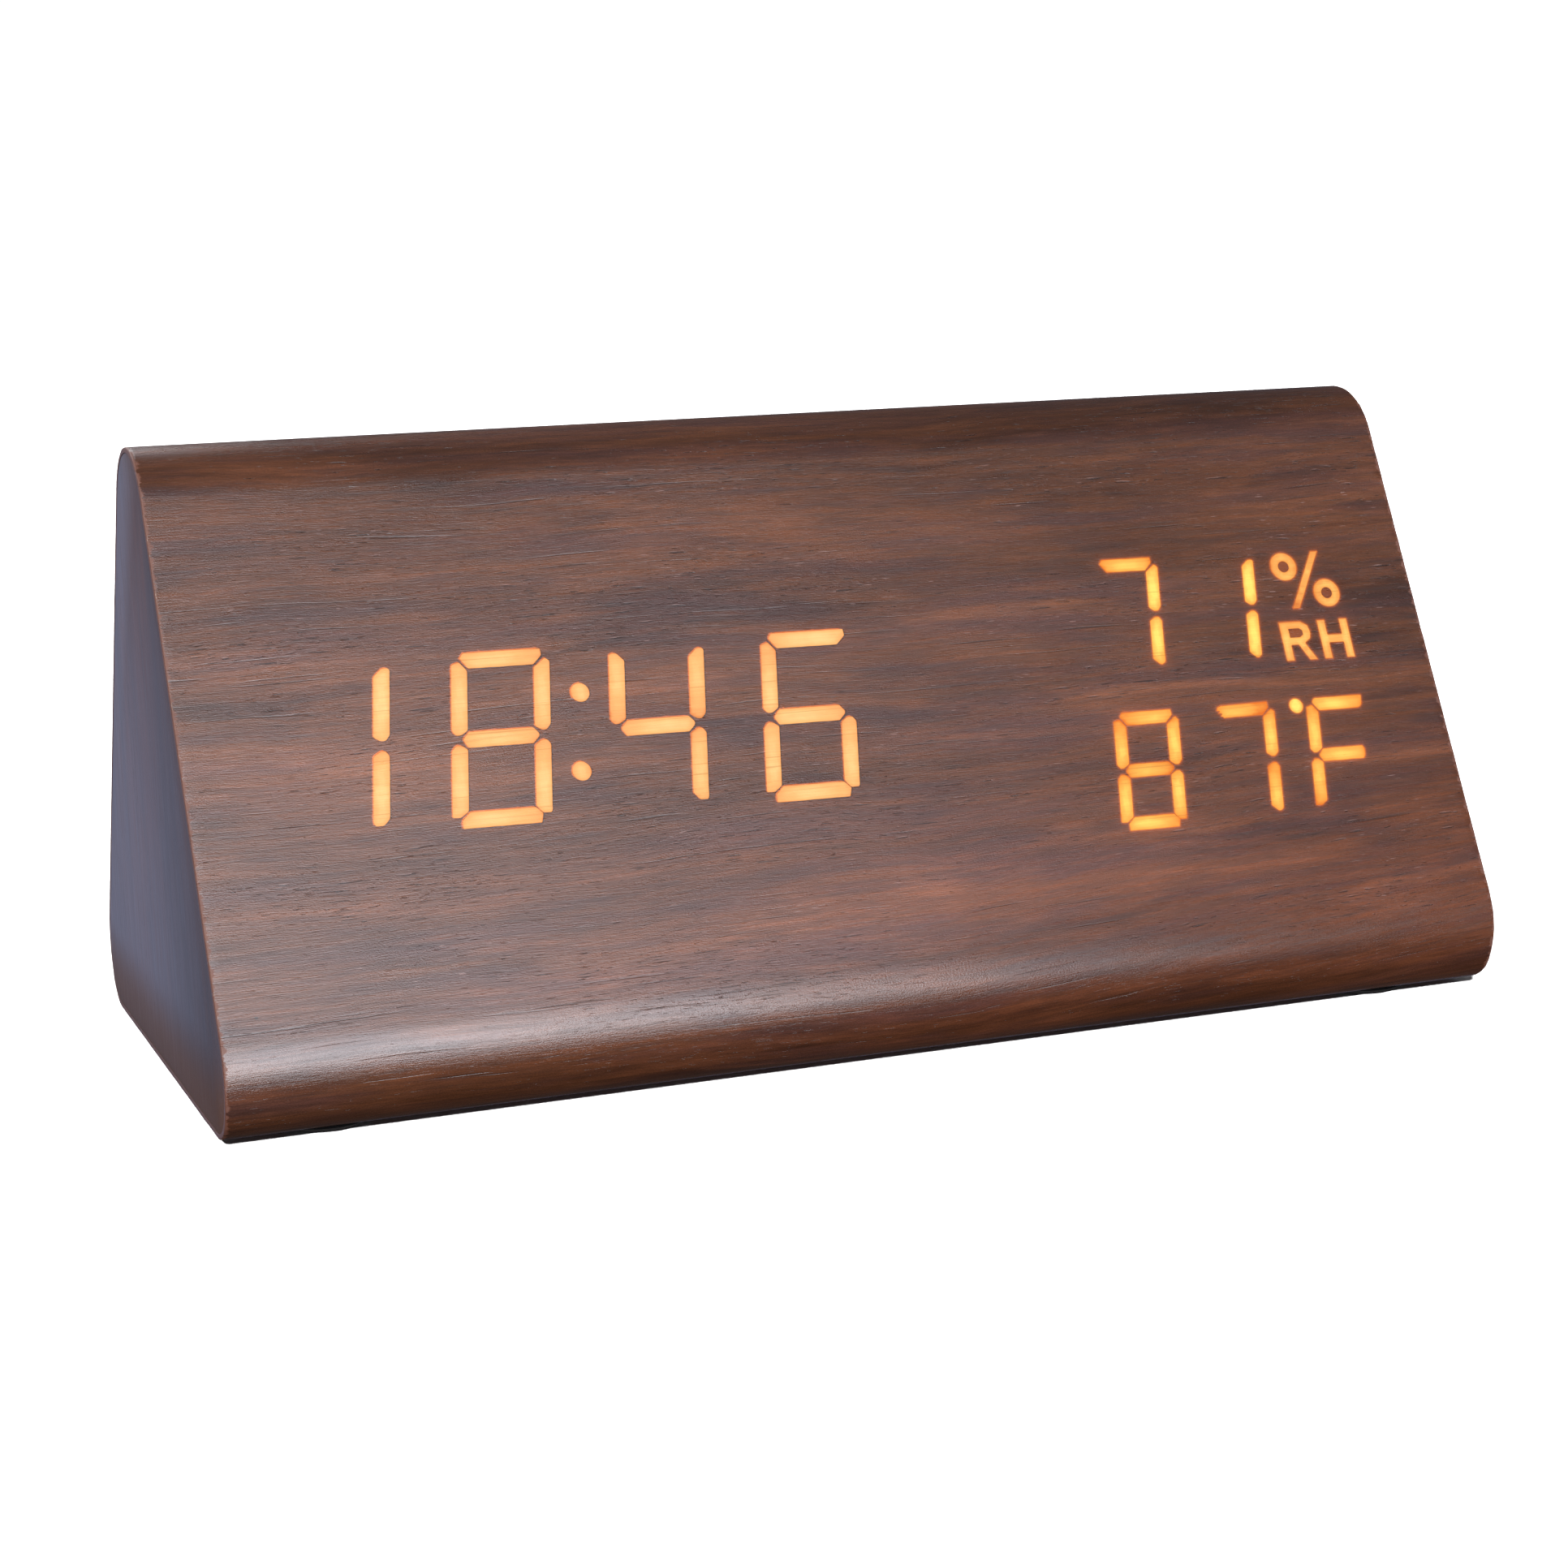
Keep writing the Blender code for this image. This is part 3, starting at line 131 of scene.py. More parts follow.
def softened(loop, radius, steps=3):
    # corners cut round
    made = []
    count = len(loop)
    for index in range(count):
        here = Vector(loop[index])
        before = Vector(loop[index - 1]) - here
        after = Vector(loop[(index + 1) % count]) - here
        cutBefore = here + before.normalized() * min(radius, before.length * 0.45)
        cutAfter = here + after.normalized() * min(radius, after.length * 0.45)
        for step in range(steps + 1):
            t = step / steps
            point = cutBefore * (1 - t) ** 2 + here * 2 * t * (1 - t) + cutAfter * t * t
            made.append((point.x, point.y))
    return made


def ragged(loop, step, amount, seed):
    # long sides split and every point shifted a little, as light edges wander in wood
    made = []
    for start, end in zip(loop, loop[1:] + loop[:1]):
        length = math.dist(start, end)
        parts = max(1, round(length / step))
        for index in range(parts):
            t = index / parts
            x = start[0] + (end[0] - start[0]) * t
            y = start[1] + (end[1] - start[1]) * t
            shift = noise.noise_vector(Vector((x * 0.9 + seed * 7.1, y * 1.9, seed * 3.7)))
            made.append((x + shift.x * amount * 0.6, y + shift.y * amount))
    return made


def circle(centre, radius, steps):
    angles = [math.tau * i / steps for i in range(steps)]
    return [(centre[0] + radius * math.cos(angle), centre[1] + radius * math.sin(angle)) for angle in angles]


def insideMask(points, loop):
    x, y = points[:, 0], points[:, 1]
    result = np.zeros(len(points), bool)
    for (x1, y1), (x2, y2) in zip(loop, loop[1:] + loop[:1]):
        if y1 == y2:
            continue
        crosses = (y1 > y) != (y2 > y)
        result ^= crosses & (x < (x2 - x1) * (y - y1) / (y2 - y1) + x1)
    return result


def edgeDistance(points, loop):
    best = np.full(len(points), 1e9)
    for start, end in zip(loop, loop[1:] + loop[:1]):
        ax, ay = start
        dx, dy = end[0] - ax, end[1] - ay
        size = dx * dx + dy * dy
        if size == 0:
            continue
        t = np.clip(((points[:, 0] - ax) * dx + (points[:, 1] - ay) * dy) / size, 0, 1)
        best = np.minimum(best, np.hypot(points[:, 0] - ax - t * dx, points[:, 1] - ay - t * dy))
    return best


def filled(outers, holes, rings=(), scatter=()):
    # triangles between the loops; rings are extra loops and scatter extra points laid in the area
    points = []
    edges = []
    for loop in list(outers) + list(holes) + list(rings):
        first = len(points)
        points += [Vector(p) for p in loop]
        edges += [(first + i, first + (i + 1) % len(loop)) for i in range(len(loop))]
    points += [Vector(p) for p in scatter]
    made = geometry.delaunay_2d_cdt(points, edges, [], 0, 1e-7)
    flat = np.array([(v.x, v.y) for v in made[0]])
    triangles = [list(face) for face in made[2]]
    middles = np.array([flat[face].mean(axis=0) for face in triangles])
    keep = np.zeros(len(middles), bool)
    for loop in outers:
        keep |= insideMask(middles, loop)
    for loop in holes:
        low, high = np.min(loop, axis=0), np.max(loop, axis=0)
        near = np.all((middles > low - 0.1) & (middles < high + 0.1), axis=1)
        keep[near] &= ~insideMask(middles[near], loop)
    kept = []
    for face, use in zip(triangles, keep):
        if use:
            kept.append(face if turnOf(*(flat[i] for i in face)) >= 0 else face[::-1])
    return flat, kept


def borderEdges(faces):
    # directed edges that only one face uses
    seen = dict.fromkeys((a, b) for face in faces for a, b in zip(face, face[1:] + face[:1]))
    return [(a, b) for a, b in seen if (b, a) not in seen]


def addNode(tree, kind, inputs=None, **settings):
    made = tree.nodes.new("ShaderNode" + kind)
    for key, value in settings.items():
        setattr(made, key, value)
    for key, value in (inputs or {}).items():
        if isinstance(value, bpy.types.NodeSocket):
            tree.links.new(value, made.inputs[key])
        else:
            made.inputs[key].default_value = value
    return made


def calc(tree, operation, a, b=0.0):
    return addNode(tree, "Math", {0: a, 1: b}, operation=operation).outputs[0]


def product(tree, a, b):
    return calc(tree, "MULTIPLY", a, b)


def vectorCalc(tree, operation, a, b=(0.0, 0.0, 0.0)):
    return addNode(tree, "VectorMath", {0: a, 1: b}, operation=operation).outputs[0]


def ranged(tree, value, fromLow, fromHigh, toLow=0.0, toHigh=1.0, smooth=False):
    inputs = {"Value": value, "From Min": fromLow, "From Max": fromHigh, "To Min": toLow, "To Max": toHigh}
    return addNode(tree, "MapRange", inputs, interpolation_type="SMOOTHSTEP" if smooth else "LINEAR").outputs[0]


def spread(tree, value, low, high):
    # most of a noise lies between these two values
    return ranged(tree, value, 0.3, 0.7, low, high)


def asColour(value):
    return (*value, 1) if isinstance(value, tuple) else value


def blended(tree, factor, first, second, mode="MIX"):
    inputs = {0: factor, 6: asColour(first), 7: asColour(second)}
    return addNode(tree, "Mix", inputs, data_type="RGBA", blend_type=mode).outputs[2]


def shaded(tree, colour, red, green, blue):
    # a colour times three factors
    factors = addNode(tree, "CombineColor", {0: red, 1: green, 2: blue}).outputs[0]
    return blended(tree, 1.0, colour, factors, "MULTIPLY")


def noiseAt(tree, vector, stretch, detail=2.0, roughness=0.5, distortion=0.0, shift=0.0):
    place = vectorCalc(tree, "MULTIPLY", vector, stretch)
    if shift:
        place = vectorCalc(tree, "ADD", place, (shift, shift * 0.7, shift * 1.3))
    inputs = {"Vector": place, "Scale": 1.0, "Detail": detail, "Roughness": roughness, "Distortion": distortion}
    return addNode(tree, "TexNoise", inputs).outputs["Fac"]


def ramp(tree, value, stops):
    made = addNode(tree, "ValToRGB", {"Fac": value})
    table = made.color_ramp.elements
    table.remove(table[1])
    table[0].position = stops[0][0]
    table[0].color = (*stops[0][1], 1)
    for position, colour in stops[1:]:
        table.new(position).color = (*colour, 1)
    return made.outputs[0]


def startMaterial(name, **values):
    made = bpy.data.materials.new(name)
    made.use_nodes = True
    tree = made.node_tree
    tree.nodes.clear()
    inputs = {key.replace("_", " "): value for key, value in values.items()}
    surface = addNode(tree, "BsdfPrincipled", inputs)
    output = addNode(tree, "OutputMaterial")
    tree.links.new(surface.outputs[0], output.inputs["Surface"])
    return made, tree, surface


def objectPoint(tree):
    # the piece's own place in mm
    place = addNode(tree, "TexCoord").outputs["Object"]
    return vectorCalc(tree, "MULTIPLY", place, (1000.0, 1000.0, 1000.0))


def bumped(tree, surface, height, distance):
    bump = addNode(tree, "Bump", {"Height": height, "Distance": distance, "Strength": 1.0})
    tree.links.new(bump.outputs[0], surface.inputs["Normal"])


# painted shade of the veneer on its rounded corners and under the base, by its distance round the section from the
# front face's foot
paintedBendShades = {
    "low": -45.0,
    "high": 185.0,
    "shade": ((-45.0, 0.64), (-9.5, 0.64), (-8.2, 0.64), (-6.6, 0.98), (58.0, 1.0), (61.5, 0.78), (77.0, 0.78),
              (80.5, 1.0), (144.0, 0.98), (146.5, 0.62), (185.0, 0.62)),
}
# the figure's noises: stretch along and up the grain, detail, roughness, distortion, shift
veneerNoises = {
    "wave": (0.014, 0.022, 2.0, 0.5, 0.0, 0.0),
    "ripple": (0.07, 0.12, 2.0, 0.5, 0.0, 5.0),
    "band": (0.022, 0.20, 5.0, 0.58, 0.1, 0.0),
    "greyBand": (0.028, 0.26, 4.0, 0.55, 0.1, 11.0),
    "patch": (0.075, 0.62, 3.0, 0.55, 0.0, 17.0),
    "streak": (0.10, 1.9, 4.0, 0.62, 0.0, 23.0),
    "fibre": (0.42, 8.0, 3.0, 0.65, 0.0, 31.0),
    "cloth": (4.6, 7.5, 1.0, 0.5, 0.0, 37.0),
    "broad": (0.016, 0.13, 3.0, 0.5, 0.0, 67.0),
    "crowd": (0.030, 0.16, 2.0, 0.5, 0.0, 51.0),
    "longPores": (0.26, 4.6, 2.0, 0.5, 0.0, 43.0),
    "shortPores": (0.62, 7.0, 2.0, 0.5, 0.0, 47.0),
    "lips": (0.25, 0.8, 1.0, 0.5, 0.0, 57.0),
    "lines": (0.055, 3.4, 1.0, 0.4, 0.0, 61.0),
    "flecks": (0.60, 8.0, 1.0, 0.5, 0.0, 71.0),
    "fleckCrowd": (0.04, 0.10, 1.0, 0.5, 0.0, 77.0),
    "sanding": (0.2, 0.9, 5.0, 0.75, 0.0, 7.0),
    "cloud": (0.45, 0.8, 3.0, 0.55, 0.0, 83.0),
    "fine": (0.16, 6.5, 3.0, 0.6, 0.0, 91.0),
    "scratches": (0.035, 3.6, 1.0, 0.4, 0.0, 97.0),
}
walnut = {
    "dark": (0.052, 0.019, 0.0110),
    "middle": (0.108, 0.0380, 0.0170),
    "warm": (0.166, 0.060, 0.0285),
    "grey": (0.072, 0.0315, 0.0265),
    "pore": (0.014, 0.008, 0.007),
    "fleck": (0.42, 0.27, 0.24),
    "edge": (0.17, 0.058, 0.032),
    "roughness": (0.345, 0.225),
    "polish": 0.035,
    "gloss": 1.0,
    "bump": 0.000034,
    # how far the grain sways and leans, in mm
    "wave": 0.8,
    "ripple": 0.12,
    "lean": 5.0,
    # least and most shade
    "streak": (0.72, 1.28),
    "fibre": (0.80, 1.20),
    "cloth": (0.85, 1.15),
    "broad": (0.76, 1.24),
    # how strongly each mark shows
    "pores": 0.80,
    "gleams": 0.45,
    "lines": 0.50,
    "flecks": 0.55,
    "dots": 0.85,
    # each pore noise with the level that it starts at
    "poreLimits": {"longPores": 0.695, "shortPores": 0.70},
    # how far the painted highlight lies from its pore, in mm
    "gleamShift": (0.05, -0.13, 0.0),
    # broad painted sheen: brighter places on the left of the face and low in its middle, where the light's reflection
    # lies; centre, reach, gain
    "pale": (((-61.0, 31.0), (28.0, 13.0), 1.50), ((4.0, 10.0), (40.0, 12.0), 1.34)),
}


def veneerNoise(tree, place, name):
    alongStretch, upStretch, *rest = veneerNoises[name]
    return noiseAt(tree, place, (alongStretch, upStretch, 1.0), *rest)


def grainPlace(tree, grain, along, up):
    # the place in the figure, after the grain's sway and its lean towards the lower right
    wave = spread(tree, veneerNoise(tree, grain, "wave"), -walnut["wave"], walnut["wave"])
    ripple = spread(tree, veneerNoise(tree, grain, "ripple"), -walnut["ripple"], walnut["ripple"])
    lean = ranged(tree, along, 8.0, halfLength, 0.0, walnut["lean"])
    lean = product(tree, lean, ranged(tree, up, 0.0, 34.0, 1.0, 0.0))
    climbed = calc(tree, "SUBTRACT", calc(tree, "ADD", up, calc(tree, "ADD", wave, ripple)), lean)
    across = addNode(tree, "SeparateXYZ", {0: grain}).outputs[2]
    return addNode(tree, "CombineXYZ", {0: along, 1: climbed, 2: across}).outputs[0]


def bendShade(tree, up):
    # painted shade: the veneer is darker where it turns round the rounded corners and under the base, where the light
    # falls off
    curve = addNode(tree, "FloatCurve", {"Value": ranged(tree, up, paintedBendShades["low"], paintedBendShades["high"])})
    points = curve.mapping.curves[0].points
    for station, level in paintedBendShades["shade"][1:-1]:
        points.new((station - paintedBendShades["low"]) / (paintedBendShades["high"] - paintedBendShades["low"]), level)
    points[0].location = (0.0, paintedBendShades["shade"][0][1])
    points[-1].location = (1.0, paintedBendShades["shade"][-1][1])
    for point in points:
        point.handle_type = "VECTOR"
    curve.mapping.update()
    return curve.outputs[0]


def walnutFigure(tree, grain):
    # grain runs along x; the second value climbs round the body
    split = addNode(tree, "SeparateXYZ", {0: grain})
    along, up = split.outputs[0], split.outputs[1]
    place = grainPlace(tree, grain, along, up)
    streak, fibre, cloth = (veneerNoise(tree, place, name) for name in ("streak", "fibre", "cloth"))

    # bands and short patches lean to red or to slate
    colour = ramp(tree, veneerNoise(tree, place, "band"), (
        (0.34, walnut["dark"]), (0.46, walnut["middle"]), (0.56, walnut["middle"]), (0.68, walnut["warm"])))
    greyBand = ranged(tree, veneerNoise(tree, place, "greyBand"), 0.48, 0.63, 0.0, 0.7)
    colour = blended(tree, greyBand, colour, walnut["grey"])
    patch = veneerNoise(tree, place, "patch")
    colour = blended(tree, ranged(tree, patch, 0.51, 0.72, 0.0, 0.50), colour, walnut["warm"])
    colour = blended(tree, ranged(tree, patch, 0.48, 0.30, 0.0, 0.48), colour, walnut["grey"])

    tone = product(tree, spread(tree, streak, *walnut["streak"]), spread(tree, fibre, *walnut["fibre"]))
    tone = product(tree, tone, spread(tree, cloth, *walnut["cloth"]))
    tone = product(tree, tone, ranged(tree, veneerNoise(tree, place, "broad"), 0.36, 0.64, *walnut["broad"]))
    # painted sheen: the tone is raised in broad places on the face
    for centre, reach, gain in walnut["pale"]:
        away = vectorCalc(tree, "DIVIDE", vectorCalc(tree, "SUBTRACT", place, (*centre, 0.0)), (*reach, 1.0))
        flatAway = vectorCalc(tree, "MULTIPLY", away, (1.0, 1.0, 0.0))
        distance = addNode(tree, "VectorMath", {0: flatAway}, operation="LENGTH").outputs["Value"]
        tone = product(tree, tone, ranged(tree, distance, 0.1, 1.0, gain, 1.0))
    # painted shade on the rounded corners and the base
    tone = product(tree, tone, bendShade(tree, up))
    # redder towards the foot of the face
    share = product(tree, ranged(tree, up, 2.0, 36.0, 1.0, 0.0), ranged(tree, along, -60.0, 15.0, 0.02, 0.12))
    redder = product(tree, tone, calc(tree, "ADD", share, 1.0))
    colour = shaded(tree, colour, redder, tone, tone)

    # dark pores lie in short thin lines, closer together in some places; a painted highlight lies just above some of
    # them, as light catching a raised lip
    crowd = ranged(tree, veneerNoise(tree, place, "crowd"), 0.40, 0.64, 0.035, -0.045)
    above = vectorCalc(tree, "ADD", place, walnut["gleamShift"])
    pores, gleams = [], []
    for name, limit in walnut["poreLimits"].items():
        for marks, spot, low, high in ((pores, place, 0.0, 0.04), (gleams, above, 0.01, 0.06)):
            level = calc(tree, "SUBTRACT", veneerNoise(tree, spot, name), crowd)
            marks.append(ranged(tree, level, limit + low, limit + high))
    pores, gleams = (calc(tree, "MAXIMUM", *marks) for marks in (pores, gleams))
    # fewer of them where the veneer is bent
    onFace = product(tree, ranged(tree, up, -2.0, 2.0, 0.15, 1.0), ranged(tree, up, 57.0, 60.0, 1.0, 0.15))
    lips = ranged(tree, veneerNoise(tree, place, "lips"), 0.50, 0.62)
    gleams = product(tree, product(tree, gleams, lips), onFace)
    # painted highlight: pale glints just above the pores, in the same pale colour as the flecks
    colour = blended(tree, product(tree, gleams, walnut["gleams"]), colour, walnut["fleck"])
    pores = product(tree, pores, ranged(tree, up, -4.0, 1.0, 0.35, 1.0))
    colour = blended(tree, product(tree, pores, walnut["pores"]), colour, walnut["pore"])
    # longer thin dark lines
    lines = ranged(tree, veneerNoise(tree, place, "lines"), 0.70, 0.76)
    colour = blended(tree, product(tree, lines, walnut["lines"]), colour, walnut["pore"])
    # pale flecks
    fleckLevel = ranged(tree, veneerNoise(tree, place, "fleckCrowd"), 0.42, 0.66, 0.79, 0.71)
    flecks = ranged(tree, calc(tree, "SUBTRACT", veneerNoise(tree, place, "flecks"), fleckLevel), 0.0, 0.05)
    colour = blended(tree, product(tree, product(tree, flecks, onFace), walnut["flecks"]), colour, walnut["fleck"])
    # tiny black dots
    dotPlace = vectorCalc(tree, "MULTIPLY", place, (0.085, 0.10, 1.0))
    cells = addNode(tree, "TexVoronoi", {"Vector": dotPlace, "Scale": 1.0})
    dots = ranged(tree, cells.outputs["Distance"], 0.012, 0.020, 1.0, 0.0)
    colour = blended(tree, product(tree, dots, walnut["dots"]), colour, walnut["pore"])

    raised = calc(tree, "ADD", product(tree, fibre, 0.6), product(tree, cloth, 0.4))
    sunk = calc(tree, "ADD", product(tree, pores, 0.8), product(tree, lines, 0.5))
    polish = ranged(tree, up, 1.0, -2.0, 0.0, walnut["polish"])
    return {
        "colour": colour,
        "roughness": calc(tree, "SUBTRACT", spread(tree, streak, *walnut["roughness"]), polish),
        "height": calc(tree, "SUBTRACT", raised, sunk),
        "dark": calc(tree, "MAXIMUM", pores, lines),
        "streak": streak,
        "along": along,
    }


# light that leaks through the thinned veneer round each lit mark, and the shaded side of its window
veneerGlow = {
    "leak": ((0.0, (0.0, 0.0, 0.0)), (0.25, (0.050, 0.008, 0.001)), (0.5, (0.22, 0.042, 0.004)),
             (1.0, (0.80, 0.16, 0.012))),
    "shaded": (0.020, 0.007, 0.004),
    "scratch": (0.55, 0.17, 0.03),
    "darkened": (0.50, 0.15, 0.03),
}


def makeVeneerMaterial():
    made, tree, surface = startMaterial("walnutVeneer", Specular_IOR_Level=walnut["gloss"])
    grain = addNode(tree, "Attribute", attribute_name="grain").outputs["Vector"]
    wood = walnutFigure(tree, grain)
    # the sanded long edge shows redder wood in a ragged line, and is dull
    wander = spread(tree, veneerNoise(tree, grain, "sanding"), -0.45, 0.45)
    fromMiddle = calc(tree, "ADD", calc(tree, "ABSOLUTE", wood["along"]), wander)
    edge = ranged(tree, fromMiddle, halfLength - 0.42, halfLength - 0.22)
    colour = blended(tree, product(tree, edge, 0.75), wood["colour"], walnut["edge"])
    dull = calc(tree, "MAXIMUM", wood["roughness"], product(tree, edge, 0.62))
    # below nought the glow marks the shaded side
    glow = addNode(tree, "Attribute", attribute_name="glow").outputs["Fac"]
    leak = ramp(tree, glow, veneerGlow["leak"])
    leak = blended(tree, product(tree, wood["dark"], 0.5), leak, (0.0, 0.0, 0.0))
    colour = blended(tree, ranged(tree, glow, 0.0, -1.0, 0.0, 0.8), colour, veneerGlow["shaded"])
    tree.links.new(colour, surface.inputs["Base Color"])
    tree.links.new(dull, surface.inputs["Roughness"])
    tree.links.new(leak, surface.inputs["Emission Color"])
    surface.inputs["Emission Strength"].default_value = 1.0
    bumped(tree, surface, wood["height"], walnut["bump"])
    return made


def makeLitMaterial(name, heart, body, edge, rim):
    # light through the thinned wood: brightest along the middle of a mark, redder at its rim, crossed by grain
    made, tree, surface = startMaterial(name, Specular_IOR_Level=0.25)
    grain = addNode(tree, "Attribute", attribute_name="grain").outputs["Vector"]
    wood = walnutFigure(tree, grain)
    warmth = addNode(tree, "Attribute", attribute_name="warmth").outputs["Fac"]
    warmth = calc(tree, "ADD", warmth, spread(tree, veneerNoise(tree, grain, "cloud"), -0.09, 0.09))
    light = ramp(tree, warmth, ((0.0, rim), (0.24, edge), (0.60, body), (1.0, heart)))
    fine = ranged(tree, veneerNoise(tree, grain, "fine"), 0.35, 0.65, 0.94, 1.05)
    light = shaded(tree, light, 1.0, fine, fine)
    scratches = ranged(tree, veneerNoise(tree, grain, "scratches"), 0.67, 0.70)
    light = blended(tree, product(tree, scratches, 0.33), light, veneerGlow["scratch"])
    light = blended(tree, product(tree, wood["dark"], 0.14), light, veneerGlow["darkened"])
    tree.links.new(light, surface.inputs["Emission Color"])
    surface.inputs["Emission Strength"].default_value = 1.0
    tree.links.new(blended(tree, 0.75, wood["colour"], (0.0, 0.0, 0.0)), surface.inputs["Base Color"])
    tree.links.new(wood["roughness"], surface.inputs["Roughness"])
    bumped(tree, surface, wood["height"], walnut["bump"])
    return made


endVeneer = {
    # a bluish grey mixed into the end's colour, a painted cool sheen
    "veil": (0.084, 0.078, 0.094),
    "foot": (0.15, 0.066, 0.034),
    "footHeights": (12.0, 3.0),
    "roughness": (0.36, 0.46),
    "footRoughness": 0.25,
}


def makeEndMaterial():
    # end veneer: the same walnut with upright figure, with a bluish grey mixed into its colour as a painted cool
    # sheen; towards its foot the painted sheen gives way to browner wood, and the foot is drier
    made, tree, surface = startMaterial("endWalnut", Specular_IOR_Level=0.5)
    split = addNode(tree, "SeparateXYZ", {0: objectPoint(tree)})
    x, y, z = split.outputs
    wood = walnutFigure(tree, addNode(tree, "CombineXYZ", {0: z, 1: y, 2: x}).outputs[0])
    foot = ranged(tree, z, *endVeneer["footHeights"], 0.0, 1.0, True)
    # painted cool sheen: a bluish grey mixed into the wood's colour
    colour = blended(tree, 0.55, wood["colour"], endVeneer["veil"])
    tree.links.new(blended(tree, foot, colour, endVeneer["foot"]), surface.inputs["Base Color"])
    dry = product(tree, foot, endVeneer["footRoughness"])
    roughness = calc(tree, "ADD", spread(tree, wood["streak"], *endVeneer["roughness"]), dry)
    tree.links.new(roughness, surface.inputs["Roughness"])
    bumped(tree, surface, wood["height"], walnut["bump"])
    return made


veneerMaterial = makeVeneerMaterial()
endMaterial = makeEndMaterial()
print("wood materials ready")

# the lit marks, drawn in the turned display's own x and y
display = {
    "slant": 0.14,
    "time": {"cell": (9.2, 8.9), "stroke": 1.88, "first": -58.3, "pitch": 17.7, "row": 0.2},
    "humidity": {"cell": (6.8, 6.25), "stroke": 1.66, "first": 36.5, "pitch": 12.75, "row": 9.4},
    "temperature": {"cell": (6.8, 6.25), "stroke": 1.66, "first": 34.85, "pitch": 12.65, "row": -9.4},
    "colonRadius": 1.12,
    "degree": ((55.52, -3.15), 0.95),
    "percent": ((60.65, 12.48), (2.5, 1.8), 1.8, 0.76),
    "slash": (8.3, 0.90, math.radians(60)),
    "letters": {"first": 57.76, "pitch": 5.16, "row": 4.86, "size": (4.12, 4.95), "bar": 0.27},
    "smallStroke": 1.8,
    "inset": 0.05,
    "edgeWander": 0.028,
}
litSegments = {"1": "bc", "4": "bcfg", "6": "acdefg", "7": "abc", "8": "abcdefg", "F": "aefg"}
# the far end of each upright, from its inner side outwards, on a stroke of 1.9
tallEnds = {
    "f": ((0.0, -0.18), (0.95, 0.89), (1.9, 0.60)),
    "b": ((0.0, -0.26), (1.30, 0.80), (1.9, 0.36)),
    "e": ((0.0, 0.0), (0.93, 0.66), (1.9, 0.60)),
    "c": ((0.0, -0.10), (0.78, 0.80), (1.78, 0.82), (1.9, 0.55)),
    "loneUpper": ((0.0, -0.18), (0.92, 0.72), (1.5, 0.80), (1.9, 0.55)),
    "loneLower": ((0.0, 0.35), (0.3, 0.82), (1.2, 0.84), (1.9, 0.05)),
    "pointed": ((0.0, 0.12), (1.05, 0.98), (1.45, 1.0), (1.9, 0.62)),
}


